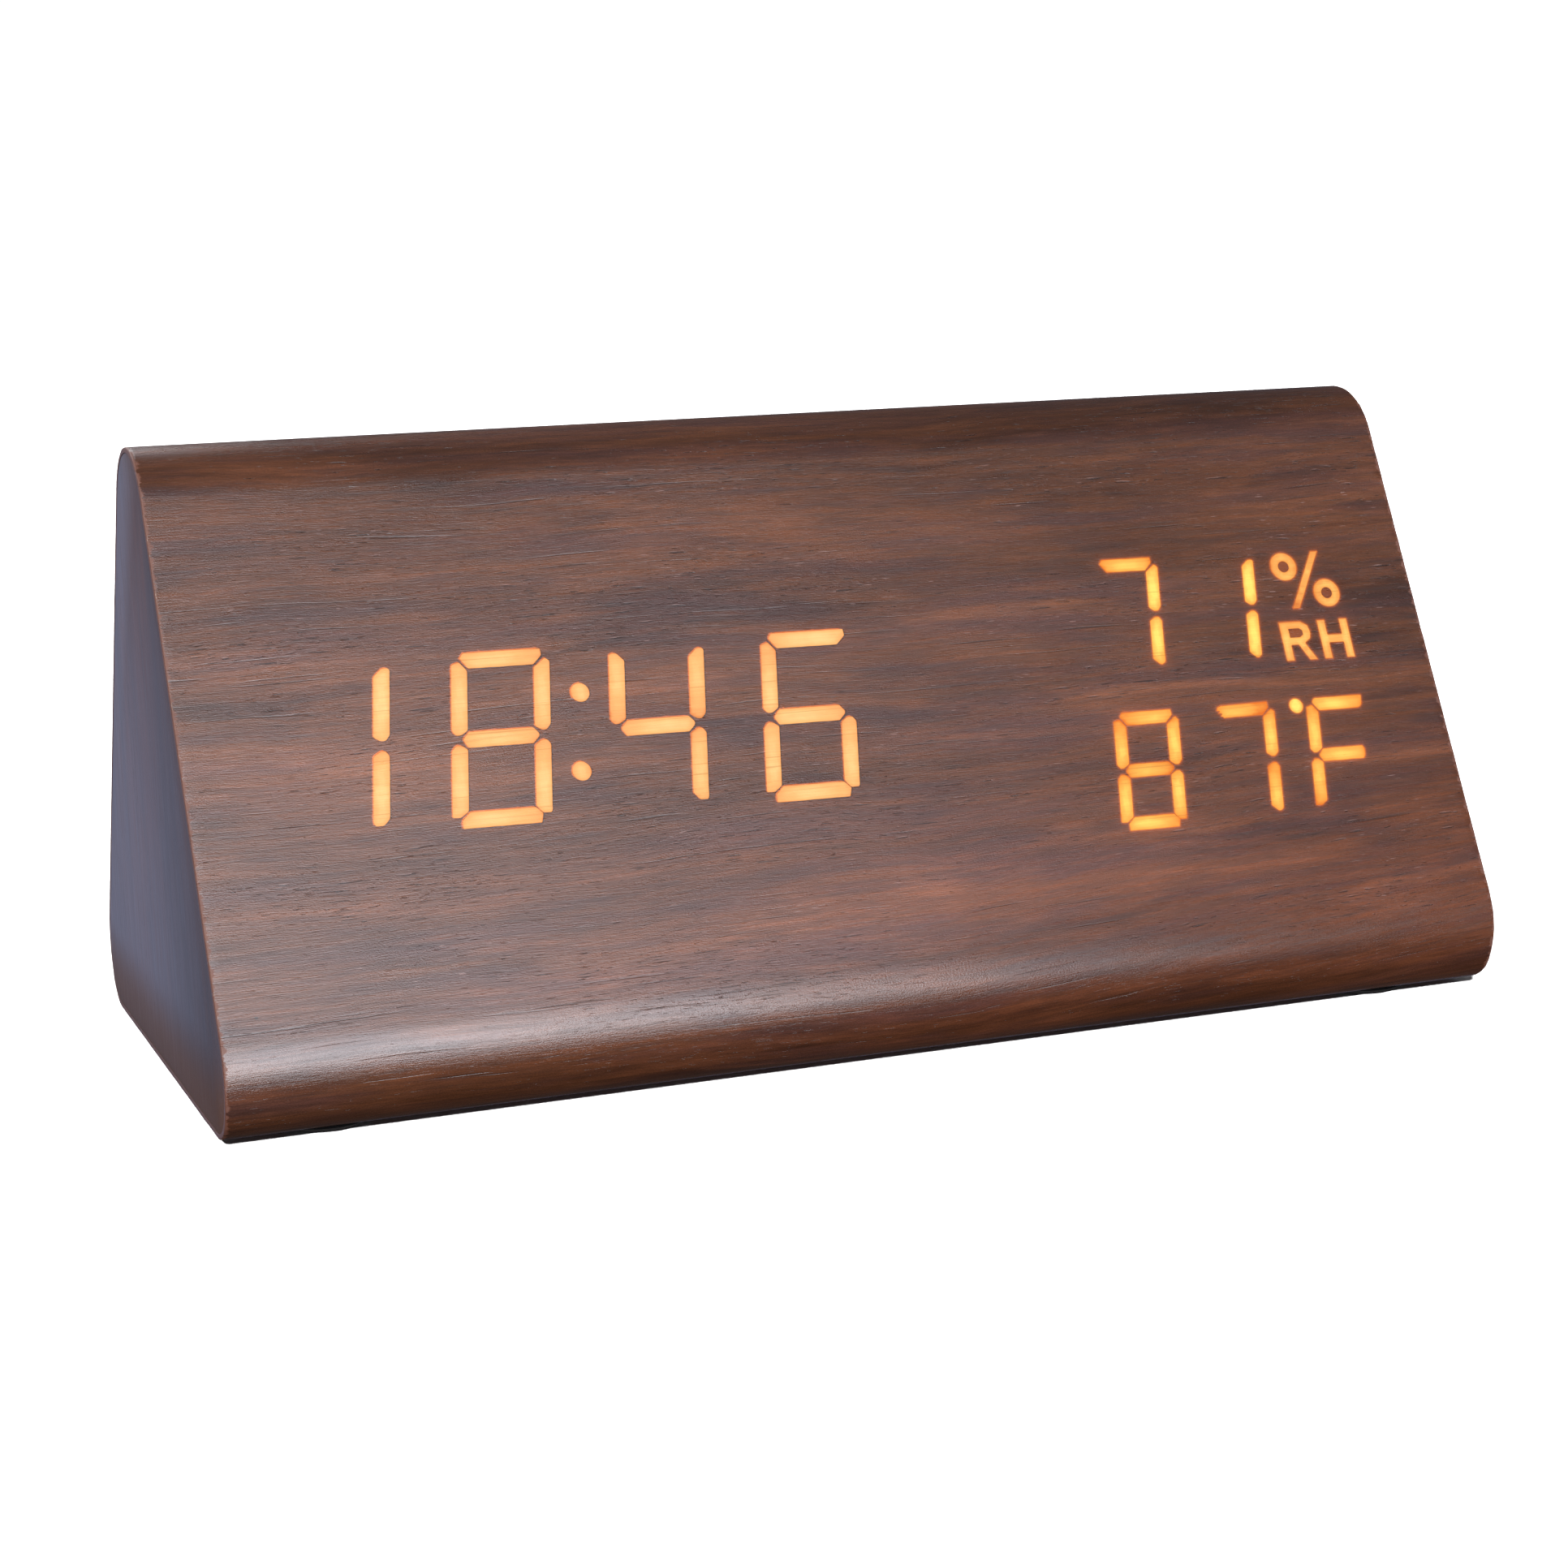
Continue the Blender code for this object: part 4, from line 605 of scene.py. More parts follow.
def segmentLoop(letter, cell, stroke, lone, kind=""):
    # a bar of a digit, before the slant; offsets are measured on a stroke of 1.9
    w, h = cell[0] / 2, cell[1]
    half = stroke / 2
    k = stroke / 1.9
    inX, inY = w - half, h - half
    roundings = 0.16 * k
    if kind == "worn":
        # its left end is chipped in steps
        chips = ((0.35, 1.78), (0.85, 1.60), (1.02, 1.05), (0.52, 0.98), (0.78, 0.70), (0.20, 0.62), (0.46, 0.26),
                 (0.10, 0.16))
        loop = [(-inX + 0.05, inY), (inX, inY), (inX + 0.98 * k, inY + 1.07 * k), (inX + 0.80 * k, inY + stroke)]
        loop += [(-inX - x * k, inY + y * k) for x, y in chips]
        roundings = 0.06
    elif kind == "Fa":
        loop = [(-inX + 0.05, inY), (inX + 0.42 * k, inY + 0.02 * k), (inX + 0.86 * k, inY + 0.42 * k),
                (inX + 0.92 * k, inY + stroke), (-inX - 0.60 * k, inY + stroke), (-inX - 0.98 * k, inY + 1.28 * k)]
        roundings = 0.26
    elif kind == "Fg":
        loop = [(-inX, half), (-inX - 0.60 * k, 0.12 * k), (-inX - 0.60 * k, -0.12 * k), (-inX - 0.02, -half),
                (inX + 0.35 * k, -half), (inX + 0.64 * k, -0.5 * k), (inX + 0.64 * k, 0.45 * k),
                (inX + 0.30 * k, half)]
    elif letter == "a":
        loop = [(-inX + 0.05, inY), (inX, inY), (inX + 0.98 * k, inY + 1.07 * k), (inX + 0.80 * k, inY + stroke),
                (-inX - 0.60 * k, inY + stroke), (-inX - 0.98 * k, inY + 1.28 * k)]
    elif letter == "d":
        loop = [(-inX + 0.05, -inY), (-inX - 0.82 * k, -inY - 0.90 * k), (-inX - 0.70 * k, -inY - stroke),
                (inX + 0.70 * k, -inY - stroke), (inX + 0.88 * k, -inY - 0.80 * k), (inX - 0.02, -inY)]
    elif letter == "g":
        loop = [(-inX, half), (-inX - 0.60 * k, 0.12 * k), (-inX - 0.60 * k, -0.12 * k), (-inX - 0.02, -half),
                (inX - 0.1, -half), (inX + 0.60 * k, -0.15 * k), (inX + 0.58 * k, 0.22 * k), (inX - 0.12, half)]
    else:
        # an upright: its tall end first, its end at the digit's middle second
        if kind == "pointed":
            end = "pointed"
        elif lone:
            end = "loneUpper" if letter in "fb" else "loneLower"
        else:
            end = letter
        small = stroke < display["smallStroke"]
        lift = 0.10 if small and not lone else 0.0
        tall = [(x * k, inY + (y + lift) * k) for x, y in tallEnds[end]]
        middle = (0.36 if small else 0.50) * k
        low = [(stroke, middle + 0.62 * k), (1.40 * k, middle), (0.80 * k, middle), (0.0, middle + 0.55 * k)]
        side = -1 if letter in "ef" else 1
        level = 1 if letter in "fb" else -1
        loop = [(side * (inX + x), level * y) for x, y in tall + low]
        roundings = 0.24 * k
    if signedArea(loop) < 0:
        loop = loop[::-1]
    return softened(loop, roundings)


def slanted(loop, centre):
    return [(centre[0] + x + display["slant"] * y, centre[1] + y) for x, y in loop]


def toFace(loop):
    # the turned display's x and y to the front face's x and height
    c, s = math.cos(clock["displayTurn"]), math.sin(clock["displayTurn"])
    rise = faceLength / 2 - clock["displayDrop"]
    return [(c * x - s * y, rise + s * x + c * y) for x, y in loop]


def digitMarks(row, text, start=0):
    marks = []
    data = display[row]
    halfWidth, height = data["cell"][0] / 2, data["cell"][1]
    for index, character in enumerate(text):
        centre = (data["first"] + (start + index) * data["pitch"], data["row"])
        for letter in litSegments[character]:
            lone = character == "1" or (character == "4" and letter in "bf") or (character == "7" and letter == "c")
            kind = character + letter
            if row == "temperature" and kind == "7a":
                kind = "worn"
            if row != "time" and lone and letter == "c":
                kind = "pointed"
            loop = segmentLoop(letter, data["cell"], data["stroke"], lone, kind)
            middle = slanted([tuple(sum(values) / len(loop) for values in zip(*loop))], centre)[0]
            mark = {"outer": slanted(loop, centre), "bores": [], "axis": (display["slant"], 1.0), "middle": middle,
                    "reach": height / 2, "width": data["stroke"] / 2, "label": character + letter}
            if letter in "adg":
                mark.update({"axis": (1.0, 0.0), "reach": halfWidth})
            marks.append(mark)
    return marks


def roundMark(centre, radius, bore=None):
    width = (radius - bore) / 2 if bore else radius
    return {"outer": circle(centre, radius, 40), "bores": [circle(centre, bore, 28)] if bore else [],
            "axis": (1.0, 0.0), "middle": centre, "reach": radius, "width": width, "label": "dot"}


def letterMarks():
    # R and H as heavy strokes
    data = display["letters"]
    width, height = data["size"]
    bar = data["bar"]
    low = data["row"] - height / 2
    shapes = {
        "R": ([(0, 0), (bar, 0), (bar, 0.40), (0.50, 0.40), (0.76, 0), (1.03, 0), (0.74, 0.44), (0.93, 0.54),
               (0.98, 0.70), (0.93, 0.88), (0.72, 1), (0, 1)],
              [[(bar, 0.58), (0.62, 0.58), (0.73, 0.64), (0.73, 0.77), (0.62, 0.83), (bar, 0.83)]]),
        "H": ([(0, 0), (bar, 0), (bar, 0.40), (1 - bar, 0.40), (1 - bar, 0), (1, 0), (1, 1), (1 - bar, 1),
               (1 - bar, 0.61), (bar, 0.61), (bar, 1), (0, 1)], []),
    }
    marks = []
    for index, (label, (outer, bores)) in enumerate(shapes.items()):
        left = data["first"] + index * data["pitch"] - width / 2
        outer, *bores = (softened([(left + x * width, low + y * height) for x, y in points], 0.12, 2)
                         for points in [outer] + bores)
        marks.append({"outer": outer, "bores": bores, "axis": (0.0, 1.0), "middle": (left + width / 2, data["row"]),
                      "reach": height / 2, "width": 0.5, "label": label})
    return marks


def unitMarks():
    (px, py), (ringX, ringY), radius, bore = display["percent"]
    length, stroke, angle = display["slash"]
    run, rise, side = length / 2 * math.cos(angle), length / 2 * math.sin(angle), stroke / 2 / math.sin(angle)
    slash = [(px - run - side, py - rise), (px - run + side, py - rise), (px + run + side, py + rise),
             (px + run - side, py + rise)]
    marks = [roundMark((px - ringX, py + ringY), radius, bore), roundMark((px + ringX, py - ringY), radius, bore)]
    marks.append({"outer": softened(slash, 0.1), "bores": [], "axis": (math.cos(angle), math.sin(angle)),
                  "middle": (px, py), "reach": length / 2, "width": stroke / 2, "label": "slash"})
    return marks + letterMarks()


time = display["time"]
colonX = time["first"] + 1.5 * time["pitch"]
colonMarks = [roundMark((colonX + display["slant"] * rise, time["row"] + rise), display["colonRadius"])
              for rise in (time["cell"][1] / 2, -time["cell"][1] / 2)]
markGroups = {
    "hour_digits": digitMarks("time", "18"),
    "colon_dots": colonMarks,
    "minute_digits": digitMarks("time", "46", 2),
    "humidity_digits": digitMarks("humidity", "71"),
    "humidity_unit": unitMarks(),
    "temperature_digits": digitMarks("temperature", "87"),
    "temperature_unit": [roundMark(*display["degree"])] + digitMarks("temperature", "F", 2),
}
for groupIndex, marks in enumerate(markGroups.values()):
    for index, mark in enumerate(marks):
        seed = groupIndex * 13 + index
        mark["outer"], *mark["bores"] = (
            toFace(ragged(moved(loop, -display["inset"]), 0.45, display["edgeWander"], seed))
            for loop in [mark["outer"]] + mark["bores"])
        mark["middle"] = toFace([mark["middle"]])[0]


# the walnut wrap is one sheet round the body, with a window for each lit mark
wrap = {
    "column": 2.5,
    "edgeRound": 0.16,
    "edgeWander": 0.10,
    "windowGap": 0.02,
    "baseEase": 2.8,
    "widest": 35.992,
    "edgeColumns": (0.55, 1.1),
    "rows": {"baseFront": 10, "lowFront": 30, "front": 48, "top": 44, "rear": 44, "lowRear": 26, "baseRear": 10},
    "grid": 1.6,
    "gridReach": 72,
    "frontEdgeX": (0.55, 1.1, 1.8),
    "rearOpening": (112.6, 48.6, 4.3),
    "rearEdgeX": (0.55, 1.1, 2.0, 4.0, 7.0, 11.0, 15.0),
    "glowRings": (0.07, 0.15, 0.28, 0.5, 0.85, 1.4),
    # near and wide leak of light, by group
    "leak": {"hour_digits": (0.25, 0.06), "colon_dots": (0.15, 0.05), "minute_digits": (0.28, 0.08),
             "others": (0.60, 0.22)},
    # the lit rim lies towards the upper left, the shaded one towards the lower right
    "rims": ((0.15, -0.09, 0.85), (-0.11, 0.08, -0.7)),
}
faceTilt = math.pi / 2 - faceAngle
lowSweep = footAngle + faceTilt
topSweep = math.pi - 2 * faceTilt
arcLow = clock["cornerRadius"] * lowSweep
arcTop = clock["cornerRadius"] * topSweep
baseHalf = lowerY + clock["cornerRadius"] * math.cos(footAngle)
# stations round the section, measured from the front face's foot
stations = {}
reached = -arcLow - baseHalf
for region, length in (("baseFront", baseHalf), ("lowFront", arcLow), ("front", faceLength), ("top", arcTop),
                       ("rear", faceLength), ("lowRear", arcLow), ("baseRear", baseHalf)):
    stations[region] = (reached, reached + length)
    reached += length


def trueSection(region, u, depth):
    low, high = stations[region]
    t = (u - low) / (high - low)
    radius = clock["cornerRadius"] - depth
    foot = math.asin((lowerZ - clock["seat"] - depth) / radius)
    baseEnd = lowerY + radius * math.cos(foot)
    if region == "baseFront":
        return -baseEnd * t, clock["seat"] + depth
    if region == "baseRear":
        return baseEnd * (1 - t), clock["seat"] + depth
    if region == "lowFront":
        angle = math.pi + foot - t * (foot + faceTilt)
        return -lowerY + radius * math.cos(angle), lowerZ + radius * math.sin(angle)
    if region == "lowRear":
        angle = faceTilt - t * (foot + faceTilt)
        return lowerY + radius * math.cos(angle), lowerZ + radius * math.sin(angle)
    if region == "top":
        angle = math.pi - faceTilt - t * topSweep
        return radius * math.cos(angle), upperZ + radius * math.sin(angle)
    side = -1 if region == "front" else 1
    start = (-lowerY, lowerZ) if region == "front" else (0.0, upperZ)
    end = (0.0, upperZ) if region == "front" else (lowerY, lowerZ)
    y = start[0] + (end[0] - start[0]) * t + side * radius * math.cos(faceTilt)
    z = start[1] + (end[1] - start[1]) * t + radius * math.sin(faceTilt)
    return y, z


def sectionPoint(region, u, depth):
    # as the solids' section, but with the base's long corners eased
    ease = wrap["baseEase"]
    corners = ((stations["lowFront"][0], "baseFront", "lowFront"), (stations["lowRear"][1], "lowRear", "baseRear"))
    for corner, before, after in corners:
        if abs(u - corner) < ease:
            t = (u - corner + ease) / (2 * ease)
            first = trueSection(before, corner - ease, depth)
            middle = trueSection(before, corner, depth)
            last = trueSection(after, corner + ease, depth)
            y, z = (a * (1 - t) ** 2 + 2 * b * t * (1 - t) + c * t * t for a, b, c in zip(first, middle, last))
            break
    else:
        y, z = trueSection(region, u, depth)
    return max(-wrap["widest"], min(wrap["widest"], y)), z


def edgeInset(u, side):
    # how far the worn long edge is eased back from the end
    wander = noise.noise(Vector((u * 0.55, side * 9.0, 2.0))) + 0.6 * noise.noise(Vector((u * 2.1, side * 5.0, 7.0)))
    return max(0.05, wrap["edgeRound"] + wrap["edgeWander"] * wander)


def frontPoints(outers, windows):
    # rings of points round each window for the glow, and a grid over the rest of the face
    reachPoints = []
    for outer in outers:
        for step in wrap["glowRings"]:
            reachPoints += moved(outer, wrap["windowGap"] + step)[::1 if step < 0.3 else 2]
    spacing = wrap["grid"]
    edgeX = halfLength - np.array(wrap["frontEdgeX"])
    gridX = np.concatenate([-edgeX, np.arange(-wrap["gridReach"], wrap["gridReach"] + 0.01, spacing), edgeX[::-1]])
    gridU = np.arange(1.5, faceLength - 1, spacing)
    gridPoints = [(float(x) + (spacing / 2 if row % 2 and abs(x) < wrap["gridReach"] else 0.0), float(u))
                  for row, u in enumerate(gridU) for x in gridX]
    candidates = np.array(reachPoints + gridPoints)
    near = np.ones(len(candidates), bool)
    for loop in windows:
        low, high = np.min(loop, axis=0) - 0.5, np.max(loop, axis=0) + 0.5
        close = np.all((candidates > low) & (candidates < high), axis=1)
        subset = candidates[close]
        bad = insideMask(subset, loop) | (edgeDistance(subset, loop) < 0.055)
        near[np.where(close)[0][bad]] = False
    scatter = candidates[near]
    # points closer than a hair to one another are thinned out
    seen, kept = set(), []
    for x, u in scatter:
        key = (round(x / 0.09), round(u / 0.09))
        if key not in seen:
            seen.add(key)
            kept.append((float(x), float(u)))
    return kept


def makeWrap():
    columnCount = int((clock["length"] - 4) / wrap["column"]) + 1
    columns = [-halfLength + 2.0 + i * wrap["column"] for i in range(columnCount)]
    edgeColumns = [x - halfLength for x in wrap["edgeColumns"]]
    columns = edgeColumns + columns + [-x for x in edgeColumns[::-1]]
    verts, faces, faceGrain = [], [], []
    index = {}

    def vertex(region, x, u, depth):
        y, z = sectionPoint(region, u, depth)
        key = (round(x, 5), round(y, 5), round(z, 5))
        if key not in index:
            index[key] = len(verts)
            verts.append((x, y, z))
        return index[key]

    def addFace(region, corners, depths, flip):
        # corners are (x, u) pairs; the outer sheet is wound anticlockwise seen from outside
        ids = [vertex(region, x, u, d) for (x, u), d in zip(corners, depths)]
        values = [(x, u, 0.0) for x, u in corners]
        if flip:
            ids, values = ids[::-1], values[::-1]
        if len(set(ids)) == len(ids):
            faces.append(ids)
            faceGrain.append(values)

    def levelsOf(region):
        low, high = stations[region]
        levels = [low + (high - low) * i / wrap["rows"][region] for i in range(wrap["rows"][region] + 1)]
        ease = [wrap["baseEase"] * i / 8 for i in range(9)]
        if region == "baseFront":
            levels = levels[:-1] + [high - e for e in ease[::-1]]
        if region == "baseRear":
            levels = [low + e for e in ease] + levels[1:]
        return levels

    thick = clock["veneer"]
    for region in ("baseFront", "lowFront", "top", "lowRear", "baseRear"):
        levels = levelsOf(region)
        for low, high in zip(levels, levels[1:]):
            xsLow, xsHigh = ([edgeInset(u, -1) - halfLength] + columns + [halfLength - edgeInset(u, 1)]
                             for u in (low, high))
            for i in range(len(xsLow) - 1):
                corners = [(xsLow[i], low), (xsLow[i + 1], low), (xsHigh[i + 1], high), (xsHigh[i], high)]
                addFace(region, corners, [0.0] * 4, False)
                addFace(region, corners, [thick] * 4, True)

    def flatSheet(region, holes, scatter):
        levels = levelsOf(region)
        low, high = levels[0], levels[-1]
        left = [(-halfLength + edgeInset(u, -1), u) for u in levels]
        right = [(halfLength - edgeInset(u, 1), u) for u in levels]
        border = left[:1] + [(x, low) for x in columns] + right + [(x, high) for x in columns[::-1]] + left[1:][::-1]
        flat, triangles = filled([border], holes, (), scatter)
        places = flat.tolist()
        for face in triangles:
            corners = [places[i] for i in face]
            addFace(region, corners, [0.0] * 3, False)
            addFace(region, corners, [thick] * 3, True)
        # walls of the windows
        onBorder = {(round(x, 3), round(u, 3)) for x, u in border}
        for a, b in borderEdges(triangles):
            start, end = places[a], places[b]
            if not all((round(x, 3), round(u, 3)) in onBorder for x, u in (start, end)):
                addFace(region, [end, start, start, end], [0.0, 0.0, thick, thick], False)

    # front: windows grown by a hair
    outers = [mark["outer"] for marks in markGroups.values() for mark in marks]
    windows = [moved(outer, wrap["windowGap"]) for outer in outers]
    flatSheet("front", windows, frontPoints(outers, windows))

    # rear: the opening for the panel
    opening = softenedBox(*wrap["rearOpening"])
    middle = stations["rear"][0] + faceLength / 2
    rearPoints = [(side * (halfLength - x), float(u)) for x in wrap["rearEdgeX"] for side in (-1, 1)
                  for u in np.arange(stations["rear"][0] + 0.7, stations["rear"][1] - 0.5, 0.8)]
    flatSheet("rear", [[(-x, middle - y) for x, y in opening][::-1]], rearPoints)

    # rounded long edges and the veneer's own edge at each end
    for region in stations:
        levels = levelsOf(region)
        for low, high in zip(levels, levels[1:]):
            for side in (-1, 1):
                lines = []
                for u in (low, high):
                    b = edgeInset(u, side)
                    profile = ((b, 0.0), (0.5 * b, 0.14 * b), (0.14 * b, 0.5 * b), (0.0, b), (0.0, thick), (b, thick))
                    lines.append([(side * (halfLength - x), u, depth) for x, depth in profile])
                first, second = lines
                for i in range(len(first) - 1):
                    quad = [first[i], first[i + 1], second[i + 1], second[i]]
                    addFace(region, [p[:2] for p in quad], [p[2] for p in quad], side < 0)

    mesh = finishMesh("walnut_wrap", verts, faces, veneerMaterial, 32)
    setGrain(mesh, faceGrain)
    setLevels(mesh, "glow", glowLevels(np.array(verts)))
    addPiece("walnut_wrap", mesh, "clock_body", "walnut_veneer", "veneer_wrap")
    return len(mesh.polygons)


def glowLevels(verts):
    # how near each point of the front sheet is to a lit mark; below nought is the shaded rim
    fromFoot = verts - np.array((0.0, -footY, footZ))
    lift = fromFoot @ np.array((0.0, -math.sin(faceAngle), math.cos(faceAngle)))
    u = fromFoot @ np.array((0.0, math.cos(faceAngle), math.sin(faceAngle)))
    onFace = (np.abs(lift) < 1e-4) & (u > -0.01) & (u < faceLength + 0.01)
    points = np.column_stack([verts[:, 0], u])[onFace]
    total = np.zeros(len(points))
    rim = np.zeros(len(points))
    for groupName, marks in markGroups.items():
        near, wide = wrap["leak"].get(groupName, wrap["leak"]["others"])
        for mark in marks:
            loop = mark["outer"]
            low, high = np.min(loop, axis=0) - 4, np.max(loop, axis=0) + 4
            close = np.where(np.all((points > low) & (points < high), axis=1))[0]
            subset = points[close]
            distance = edgeDistance(subset, loop)
            leak = near * np.exp(-distance / 0.17) + wide * np.exp(-distance / 0.65)
            total[close] = np.maximum(total[close], leak)
            for dx, dy, level in wrap["rims"]:
                shifted = subset + np.array((dx, dy))
                hidden = insideMask(shifted, loop) | (edgeDistance(shifted, loop) < 0.02)
                level = level if groupName in wrap["leak"] else abs(level) * 0.75
                inRim = hidden & (distance < 0.13) & (np.abs(rim[close]) < abs(level))
                rim[close] = np.where(inRim, level, rim[close])
    glow = np.zeros(len(verts))
    glow[onFace] = np.clip(np.where(rim < 0, rim, np.maximum(total, rim)), -1, 1)
    print("glow:", int((glow > 0.3).sum()), "points lit,", int((glow < 0).sum()), "shaded")
    return glow


def softenedBox(width, height, radius, steps=8):
    points = []
    for side, level, start in ((1, -1, -0.5), (1, 1, 0.0), (-1, 1, 0.5), (-1, -1, 1.0)):
        cx, cy = side * (width / 2 - radius), level * (height / 2 - radius)
        for i in range(steps + 1):
            angle = (start + 0.5 * i / steps) * math.pi
            points.append((cx + radius * math.cos(angle), cy + radius * math.sin(angle)))
    return points


print("walnut wrap:", makeWrap(), "faces")

# colours of the light, from the heart of a mark to its rim
litColours = {
    "timeLit": {"heart": (1.0, 0.69, 0.275), "body": (1.0, 0.53, 0.180), "edge": (0.98, 0.43, 0.140),
                "rim": (0.82, 0.22, 0.05)},
    "smallLit": {"heart": (1.0, 0.86, 0.180), "body": (1.0, 0.535, 0.098), "edge": (0.98, 0.37, 0.055),
                 "rim": (0.82, 0.17, 0.015)},
    "signLit": {"heart": (1.0, 0.63, 0.165), "body": (0.98, 0.46, 0.110), "edge": (0.92, 0.33, 0.070),
                "rim": (0.66, 0.14, 0.025)},
}
litMaterials = {name: makeLitMaterial(name, **colours) for name, colours in litColours.items()}
litFinish = {"hour_digits": "timeLit", "colon_dots": "timeLit", "minute_digits": "timeLit",
             "humidity_digits": "smallLit", "humidity_unit": "signLit", "temperature_digits": "smallLit",
             "temperature_unit": "smallLit"}
slotOf = {"timeLit": "orange_light", "smallLit": "yellow_light", "signLit": "orange_light"}
lights = {
    "heat": 0.52,
    "heart": 0.36,
    "rimWidth": 0.12,
    # brighter or duller than the rest, by group and mark
    "levels": {
        "hour_digits": {"1b": 0.14, "1c": 0.12},
        "minute_digits": {"4b": -0.06, "4f": -0.04, "6a": 0.10},
        "humidity_digits": {"7a": -0.10, "7b": 0.16, "7c": 0.12, "1b": 0.18, "1c": 0.18},
        "humidity_unit": {"dot": -0.04, "slash": 0.04, "R": 0.12, "H": 0.12},
        "temperature_digits": {"8a": -0.10, "8b": -0.10, "8c": -0.08, "8d": -0.08, "8e": -0.08, "8f": -0.10,
                               "8g": -0.18, "7a": -0.18, "7b": -0.10, "7c": -0.10},
        "temperature_unit": {"dot": 0.34, "Fa": -0.06, "Ff": -0.10, "Fe": -0.14, "Fg": -0.04},
    },
    "plateDepth": 0.55,
    "dip": 0.02,
    # the mesh of a mark: inner ring, grid, and the grid's least distance from the outline and from a bore
    "ring": 0.07,
    "grid": 0.45,
    "outerGap": 0.34,
    "boreGap": 0.2,
}


def flatPlaces(flat, ids):
    return [(float(flat[i][0]), float(flat[i][1]), 0.0) for i in ids]


def heatOf(mark, flat, distance, level, offset):
    # brightest near the middle of a mark, falling to its ends and towards its rim
    ax, ay = mark["axis"]
    fromMiddle = flat - np.array(mark["middle"])
    along = (fromMiddle[:, 0] * ax + fromMiddle[:, 1] * ay) / math.hypot(ax, ay) / mark["reach"]
    heat = lights["heat"] + level
    heat = heat + lights["heart"] * (1 - np.clip(np.abs(along - offset), 0, 1) ** 1.6 * 1.3)
    if mark["label"] == "H":
        # its lower right leg is the brightest
        heat += 0.34 * np.clip(fromMiddle[:, 0] / 1.6, 0, 1) * np.clip(-along, 0, 1)
    heat = heat * np.clip(0.30 + distance / min(lights["rimWidth"], mark["width"]) * 0.70, 0, 1)
    return heat - 0.12 * (1 - np.clip(distance / (mark["width"] * 0.8), 0, 1))


def makeLit(name, marks, finish):
    verts, heats, faces, grains = [], [], [], []
    for number, mark in enumerate(marks):
        outer, bores = mark["outer"], mark["bores"]
        rng = random.Random(name + str(number))
        offset = rng.uniform(-0.3, 0.3)
        level = rng.uniform(-0.05, 0.05) + lights["levels"].get(name, {}).get(mark["label"], 0.0)
        rings = [moved(outer, -lights["ring"])] + [moved(bore, lights["ring"]) for bore in bores]
        (lowX, lowU), (highX, highU) = np.min(outer, axis=0), np.max(outer, axis=0)
        grid = np.array([(x, u) for x in np.arange(lowX, highX, lights["grid"])
                         for u in np.arange(lowU, highU, lights["grid"])])
        ok = insideMask(grid, outer) & (edgeDistance(grid, outer) > lights["outerGap"])
        for bore in bores:
            ok &= ~insideMask(grid, bore) & (edgeDistance(grid, bore) > lights["boreGap"])
        flat, triangles = filled([outer], bores, rings, [tuple(p) for p in grid[ok]])
        distance = np.min([edgeDistance(flat, loop) for loop in [outer] + bores], axis=0)
        first = len(verts)
        verts += [tuple(frontFace @ Vector((*p, -lights["dip"]))) for p in flat]
        heats += heatOf(mark, flat, distance, level, offset).tolist()
        for face in triangles:
            faces.append([first + i for i in face])
            grains.append(flatPlaces(flat, face))
        # side walls
        edges = borderEdges(triangles)
        below = {}
        for i in dict.fromkeys(i for edge in edges for i in edge):
            below[i] = len(verts)
            verts.append(tuple(frontFace @ Vector((*flat[i], -lights["plateDepth"]))))
            heats.append(0.1)
        for a, b in edges:
            faces.append([first + b, first + a, below[a], below[b]])
            grains.append(flatPlaces(flat, (b, a, a, b)))
        # closed back
        backIds = list(below)
        position = {i: n for n, i in enumerate(backIds)}
        points, _, triangles, origins, _, _ = geometry.delaunay_2d_cdt(
            [Vector(flat[i]) for i in backIds], [(position[a], position[b]) for a, b in edges], [], 0, 1e-7)
        middles = np.array([np.mean([points[i] for i in face], axis=0) for face in triangles])
        inside = insideMask(middles, outer)
        for bore in bores:
            inside &= ~insideMask(middles, bore)
        for face, use in zip(triangles, inside):
            if use:
                ids = [below[backIds[origins[i][0]]] for i in face]
                faces.append(ids[::-1] if turnOf(*(points[i] for i in face)) > 0 else ids)
                grains.append([(0.0, 0.0, 0.0)] * 3)
    mesh = finishMesh(name.replace("_", "") + "Mesh", verts, faces, litMaterials[finish], 30)
    setGrain(mesh, grains)
    setLevels(mesh, "warmth", heats)
    addPiece("lit_" + name, mesh, "clock_body", slotOf[finish], name)


def makeIslands():
    # the middle of each ring and of the R is wood, seated in its lit mark
    verts, faces, grains = [], [], []
    for bore in (bore for marks in markGroups.values() for mark in marks for bore in mark["bores"]):
        flat, triangles = filled([moved(bore, -wrap["windowGap"])], [])
        first, second = len(verts), len(verts) + len(flat)
        for depth in (0.0, clock["veneer"]):
            verts += [tuple(frontFace @ Vector((*p, -depth))) for p in flat]
        for face in triangles:
            faces += [[first + i for i in face], [second + i for i in face[::-1]]]
            grains += [flatPlaces(flat, face), flatPlaces(flat, face[::-1])]
        for a, b in borderEdges(triangles):
            faces.append([first + b, first + a, second + a, second + b])
            grains.append(flatPlaces(flat, (b, a, a, b)))
    mesh = finishMesh("mark_islands", verts, faces, veneerMaterial, 30)
    setGrain(mesh, grains)
    setLevels(mesh, "glow", [0.42] * len(verts))
    addPiece("mark_islands", mesh, "clock_body", "walnut_veneer")


for name, marks in markGroups.items():
    makeLit(name, marks, litFinish[name])
makeIslands()
print("lit marks ready")


